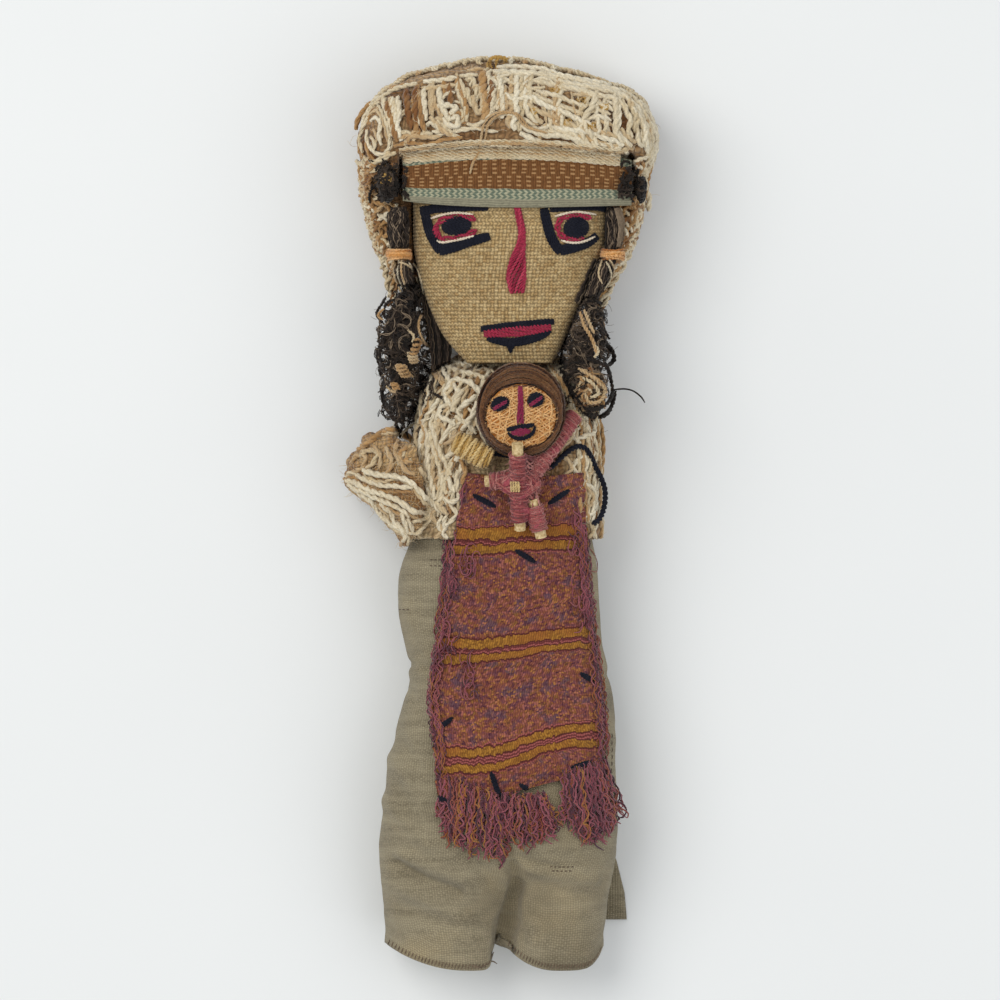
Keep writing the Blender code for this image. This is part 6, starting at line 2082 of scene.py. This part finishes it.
def make_infant_face(dice):
    """Threads that cross the infant's face in four directions."""
    both = tree_of(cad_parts["infant_hood"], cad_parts["infant_face"])
    crossed, tones = [], []
    middle_x, centre_y = INFANT_X * MM, (INFANT_Y - FACE_DOWN) * MM
    for turn, lift, gap in ((38, 0.1, 0.8), (-34, 0.3, 1.1), (24, 0.42, 1.3), (84, 0.5, 3.0)):
        for offset in np.arange(-13.4, 13.5, gap):
            lean = math.radians(turn + dice.uniform(-5, 5))
            run = np.array([math.cos(lean), math.sin(lean)])
            side = np.array([-run[1], run[0]])
            line = []
            for s in np.linspace(-15.0, 15.0, 40):
                x, y = run * s + side * (offset + 0.3 * math.sin(0.9 * s + offset))
                if (x / WEAVE_WIDE) ** 2 + (y / WEAVE_TALL) ** 2 < 1:
                    place = middle_x + x * MM, centre_y + y * MM
                    line.append((*place, top(both, *place, 52 * MM) + lift * MM))
            if len(line) > 3:
                crossed.append(np.array(line))
                tones.append(dice.uniform(0.4, 1.2))
    weave = spin("infant_face_thread", crossed, face_thread, 0.23, plies=1, step=0.7, tones=tones,
                 wander=0.5)
    settled(weave, "infant_face")


def make_infant_features():
    """The infant's eyes, nose and mouth, in dark and magenta thread, with a dark thread under the mouth as
    painted shadow.
    """
    on_face = tree_of(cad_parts["infant_face"])
    dark, magenta = [], []

    def sewn(routes):
        return [laid(route, on_face, 0.95, least=52.0) for route in routes]

    for middle, wide, tall, degrees in INFANT_EYES:
        dark += sewn(satin(middle, wide, tall, degrees, 1.5))
    for (x0, y0), (x1, y1) in INFANT_EYE_DASHES:
        magenta += sewn([((x0, y0 + down, 0.4), (x1, y1 + down, 0.4)) for down in (0, 2)])
    magenta += sewn(bundle(INFANT_NOSE, (3, 4, 6), 5, braid=0.8))
    magenta += sewn(satin(*INFANT_MOUTH, 1.5))
    # Dark thread: the bar over the mouth, then painted shadow under it.
    for route, count in zip(INFANT_MOUTH_BAR_AND_SHADOW, (3, 2)):
        dark += sewn(bundle(route, (count, 2 * count, count), count))
    settled(joined("infant_features", [
        spin("dark", dark, dark_yarn, 0.28, pitch=2.2, wander=0.4),
        spin("magenta", magenta, magenta_thread, 0.28, pitch=2.2, wander=0.4),
    ]), "dark_yarn")


def make_infant_body(dice):
    """Pink wool wound round the infant's body and round its limbs of reed."""
    wool = plain_finish("infant_wool", "7c333e", "b05c62", 900.0)
    core = soft_copy("infant_core", "infant_body", 0.8, wool, ease=3, rough=0.4, size=3.0)
    lump = tree_of(core)
    runs = []
    for start, end, first, last in REEDS.values():
        start, end = Vector(start) * MM, Vector(end) * MM
        start, end = start.lerp(end, first), start.lerp(end, last)
        for pitch, lift in ((0.62, -0.2), (1.7, 0.1), (-2.6, 0.15)):
            runs.append(winding(start, end, 3.05, pitch, None, dice, lift))
    low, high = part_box("infant_body")
    middle = (low + high) / 2
    for _ in range(80):
        normal = Vector((dice.normal(0, 0.7), dice.normal(0, 1.0), dice.normal(0, 0.25))).normalized()
        side = normal.orthogonal().normalized()
        up = normal.cross(side)
        heart = middle + Vector((0.0, (high.y - low.y) * dice.uniform(-0.28, 0.28), 0.0))
        ring = []
        for n in range(41):
            a = math.tau * n / 40
            away = math.cos(a) * side + math.sin(a) * up
            hit = skin_from(lump, heart, away)
            if hit is not None:
                ring.append(hit + away * dice.uniform(0.1, 0.3) * MM)
        if len(ring) > 30:
            runs.append(np.array(ring))
    tones = dice.uniform(0.0, 1.0, len(runs)).tolist()
    wound = spin("wound", runs, pink_yarn, 0.25, pitch=2.2, step=0.85, sides=3, tones=tones, wander=0.5,
                 spread=0.14)
    fine = fuzzy(runs, 300, 2.6, pink_yarn, 0.8, dice, step=0.65)
    settled(joined("infant_winding", [core, wound, fine]), "pink_yarn", "infant_body")
    tree = tree_of(bpy.data.objects["infant_winding"])
    patch = [laid([(511 + 2.4 * k, 482, 0.2), (511.5 + 2.4 * k, 492, 0.2)], tree, 0.4) for k in range(4)]
    settled(spin("infant_patch", patch, tan_yarn, 0.4, pitch=2.0, tones=[0.9] * 4), "tan_yarn")


# The cord that the infant hangs by
CARRYING_CORD = (
    (17.4, 16.2, 45.2), (19.4, 17.9, 44.6), (23.3, 21.7, 43.0), (27.3, 24.3, 40.8), (30.4, 23.9, 38.4),
    (32.6, 21.0, 36.0), (34.4, 17.0, 33.4), (36.6, 12.8, 31.0), (37.9, 8.2, 30.2), (37.5, 2.5, 31.0),
    (35.8, -1.7, 33.4), (33.4, -3.4, 35.9),
)
NECK_CORD = ((-5.4, 23.2, 45.6), (-2, 22, 45.4), (3, 21.2, 45.3), (9, 21, 45.2), (13, 22, 44.8))
CORD_PLY = 0.56


def make_carrying_cord():
    """A dark plied cord from the infant's side round the shawl."""
    path = curve_through(np.array(CARRYING_CORD) * MM, 0.5 * MM)
    cord = spin("carrying_cord_yarn", [path], dark_yarn, CORD_PLY, pitch=3.4, step=0.5, sides=7, wander=0.0,
                tones=[0.4])
    settled(cord, "dark_yarn", "carrying_cord")


def make_neck_cord():
    """The dark cord that is pressed in at the infant's neck."""
    path = curve_through(np.array(NECK_CORD) * MM, 0.5 * MM)
    settled(spin("neck_cord_yarn", [path], dark_yarn, 0.58, pitch=2.8, wander=0.1), "dark_yarn", "neck_cord")


# Sewing on the tunic
DARNING = ((430, 560, 26), (430, 566, 24), (550, 867, 27), (552, 871, 22), (596, 735, 14), (398, 610, 16))
SIDE_STITCHES = ((606, 728, 790), (612, 734, 786))
HEM_THREAD = ((470, 965, 1.0), (480, 968, 1.4), (490, 964, 1.0), (497, 968, 0.6))


def make_sewing(tunic, dice):
    """Rows of dark running stitches on the tunic, whip stitches on its hem, and loose threads."""
    tree = tree_of(tunic)
    dark, pale = [], []
    for x, y, reach in DARNING:
        for k in range(int(reach / 4.2)):
            at = x + 4.2 * k
            stitch = [(at, y, -0.2), (at + 1.3, y - 0.3, 0.25), (at + 2.6, y, -0.2)]
            dark.append(laid(stitch, tree, 0.15, step=0.4, least=14.0))
    for x, y0, y1 in SIDE_STITCHES:
        for y in np.arange(y0, y1, 7.0):
            stitch = [(x, y, -0.2), (x + dice.uniform(-1, 1), y + 2.4, 0.3), (x, y + 4.6, -0.2)]
            dark.append(laid(stitch, tree, 0.2, least=14.0))
    for left, _, right, _, _ in HEM_LOBES:
        for share in np.linspace(0.04, 0.96, 32):
            x = left + (right - left) * share
            y = HEM_Y + hem_shift(x)
            px, py = x * MM / PIXEL + PHOTO_MIDDLE_X, PHOTO_MIDDLE_Y - y * MM / PIXEL
            stitch = [(px - 1.0, py - 1.5, 0.1), (px, py - 4.0, 0.3), (px + 1.2, py - 6.5, -0.2)]
            pale.append(laid(stitch, tree, 0.1, step=0.5, least=8.0))
    pale.append(laid(HEM_THREAD, tree, 0.4, least=6.0))
    settled(joined("tunic_sewing", [
        spin("dark", dark, brown_thread, 0.2, plies=1, step=0.5, sides=4, tones=[0.1] * len(dark)),
        spin("pale", pale, hair_fibre, 0.16, pitch=1.6, step=0.5, sides=4, tones=[0.85] * len(pale)),
    ]), "tunic_cloth")


def dress_kept_solids():
    """Finishes for the solids that stay under their threads."""
    kept = {
        "infant_hood": ("brown_thread", plain_finish("hood_winding", "2e1a0c", "5a381c", 700.0)),
        "infant_face": ("infant_face", plain_finish("infant_cloth", "8a5224", "c07f3c", 600.0)),
        "forearm": ("tan_yarn", plain_finish("forearm_core", "7a5a2c", "a58448", 500.0)),
    }
    reed = reed_finish()
    for name in REEDS:
        kept["infant_reed_" + name] = ("reed", reed)
    for name, (slot, finish) in kept.items():
        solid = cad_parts[name]
        solid.data.materials.clear()
        solid.data.materials.append(finish)


dice = np.random.default_rng(7)
make_camera()
make_carrying_cord()
make_studio()
tunic = make_tunic()
make_back_panel()
head = make_head()
make_face_embroidery(head)
make_headband()
crown, netting = make_crown(dice)
make_falls(crown, dice)
make_crown_threads(crown, netting, dice)
shawl = make_shawl(dice)
make_sleeve_tassel(shawl, dice)
make_forearm(dice)
apron = make_apron()
make_fringes(tunic, dice)
make_frays(apron, tunic, dice)
make_stitches(apron)
make_locks(head, dice)
make_tangles(shawl, dice)
make_ties(shawl, head, dice)
make_band_knots(dice)
make_neck_cord()
make_infant_hood(dice)
make_infant_face(dice)
make_infant_features()
make_infant_body(dice)
make_sewing(tunic, dice)
dress_kept_solids()
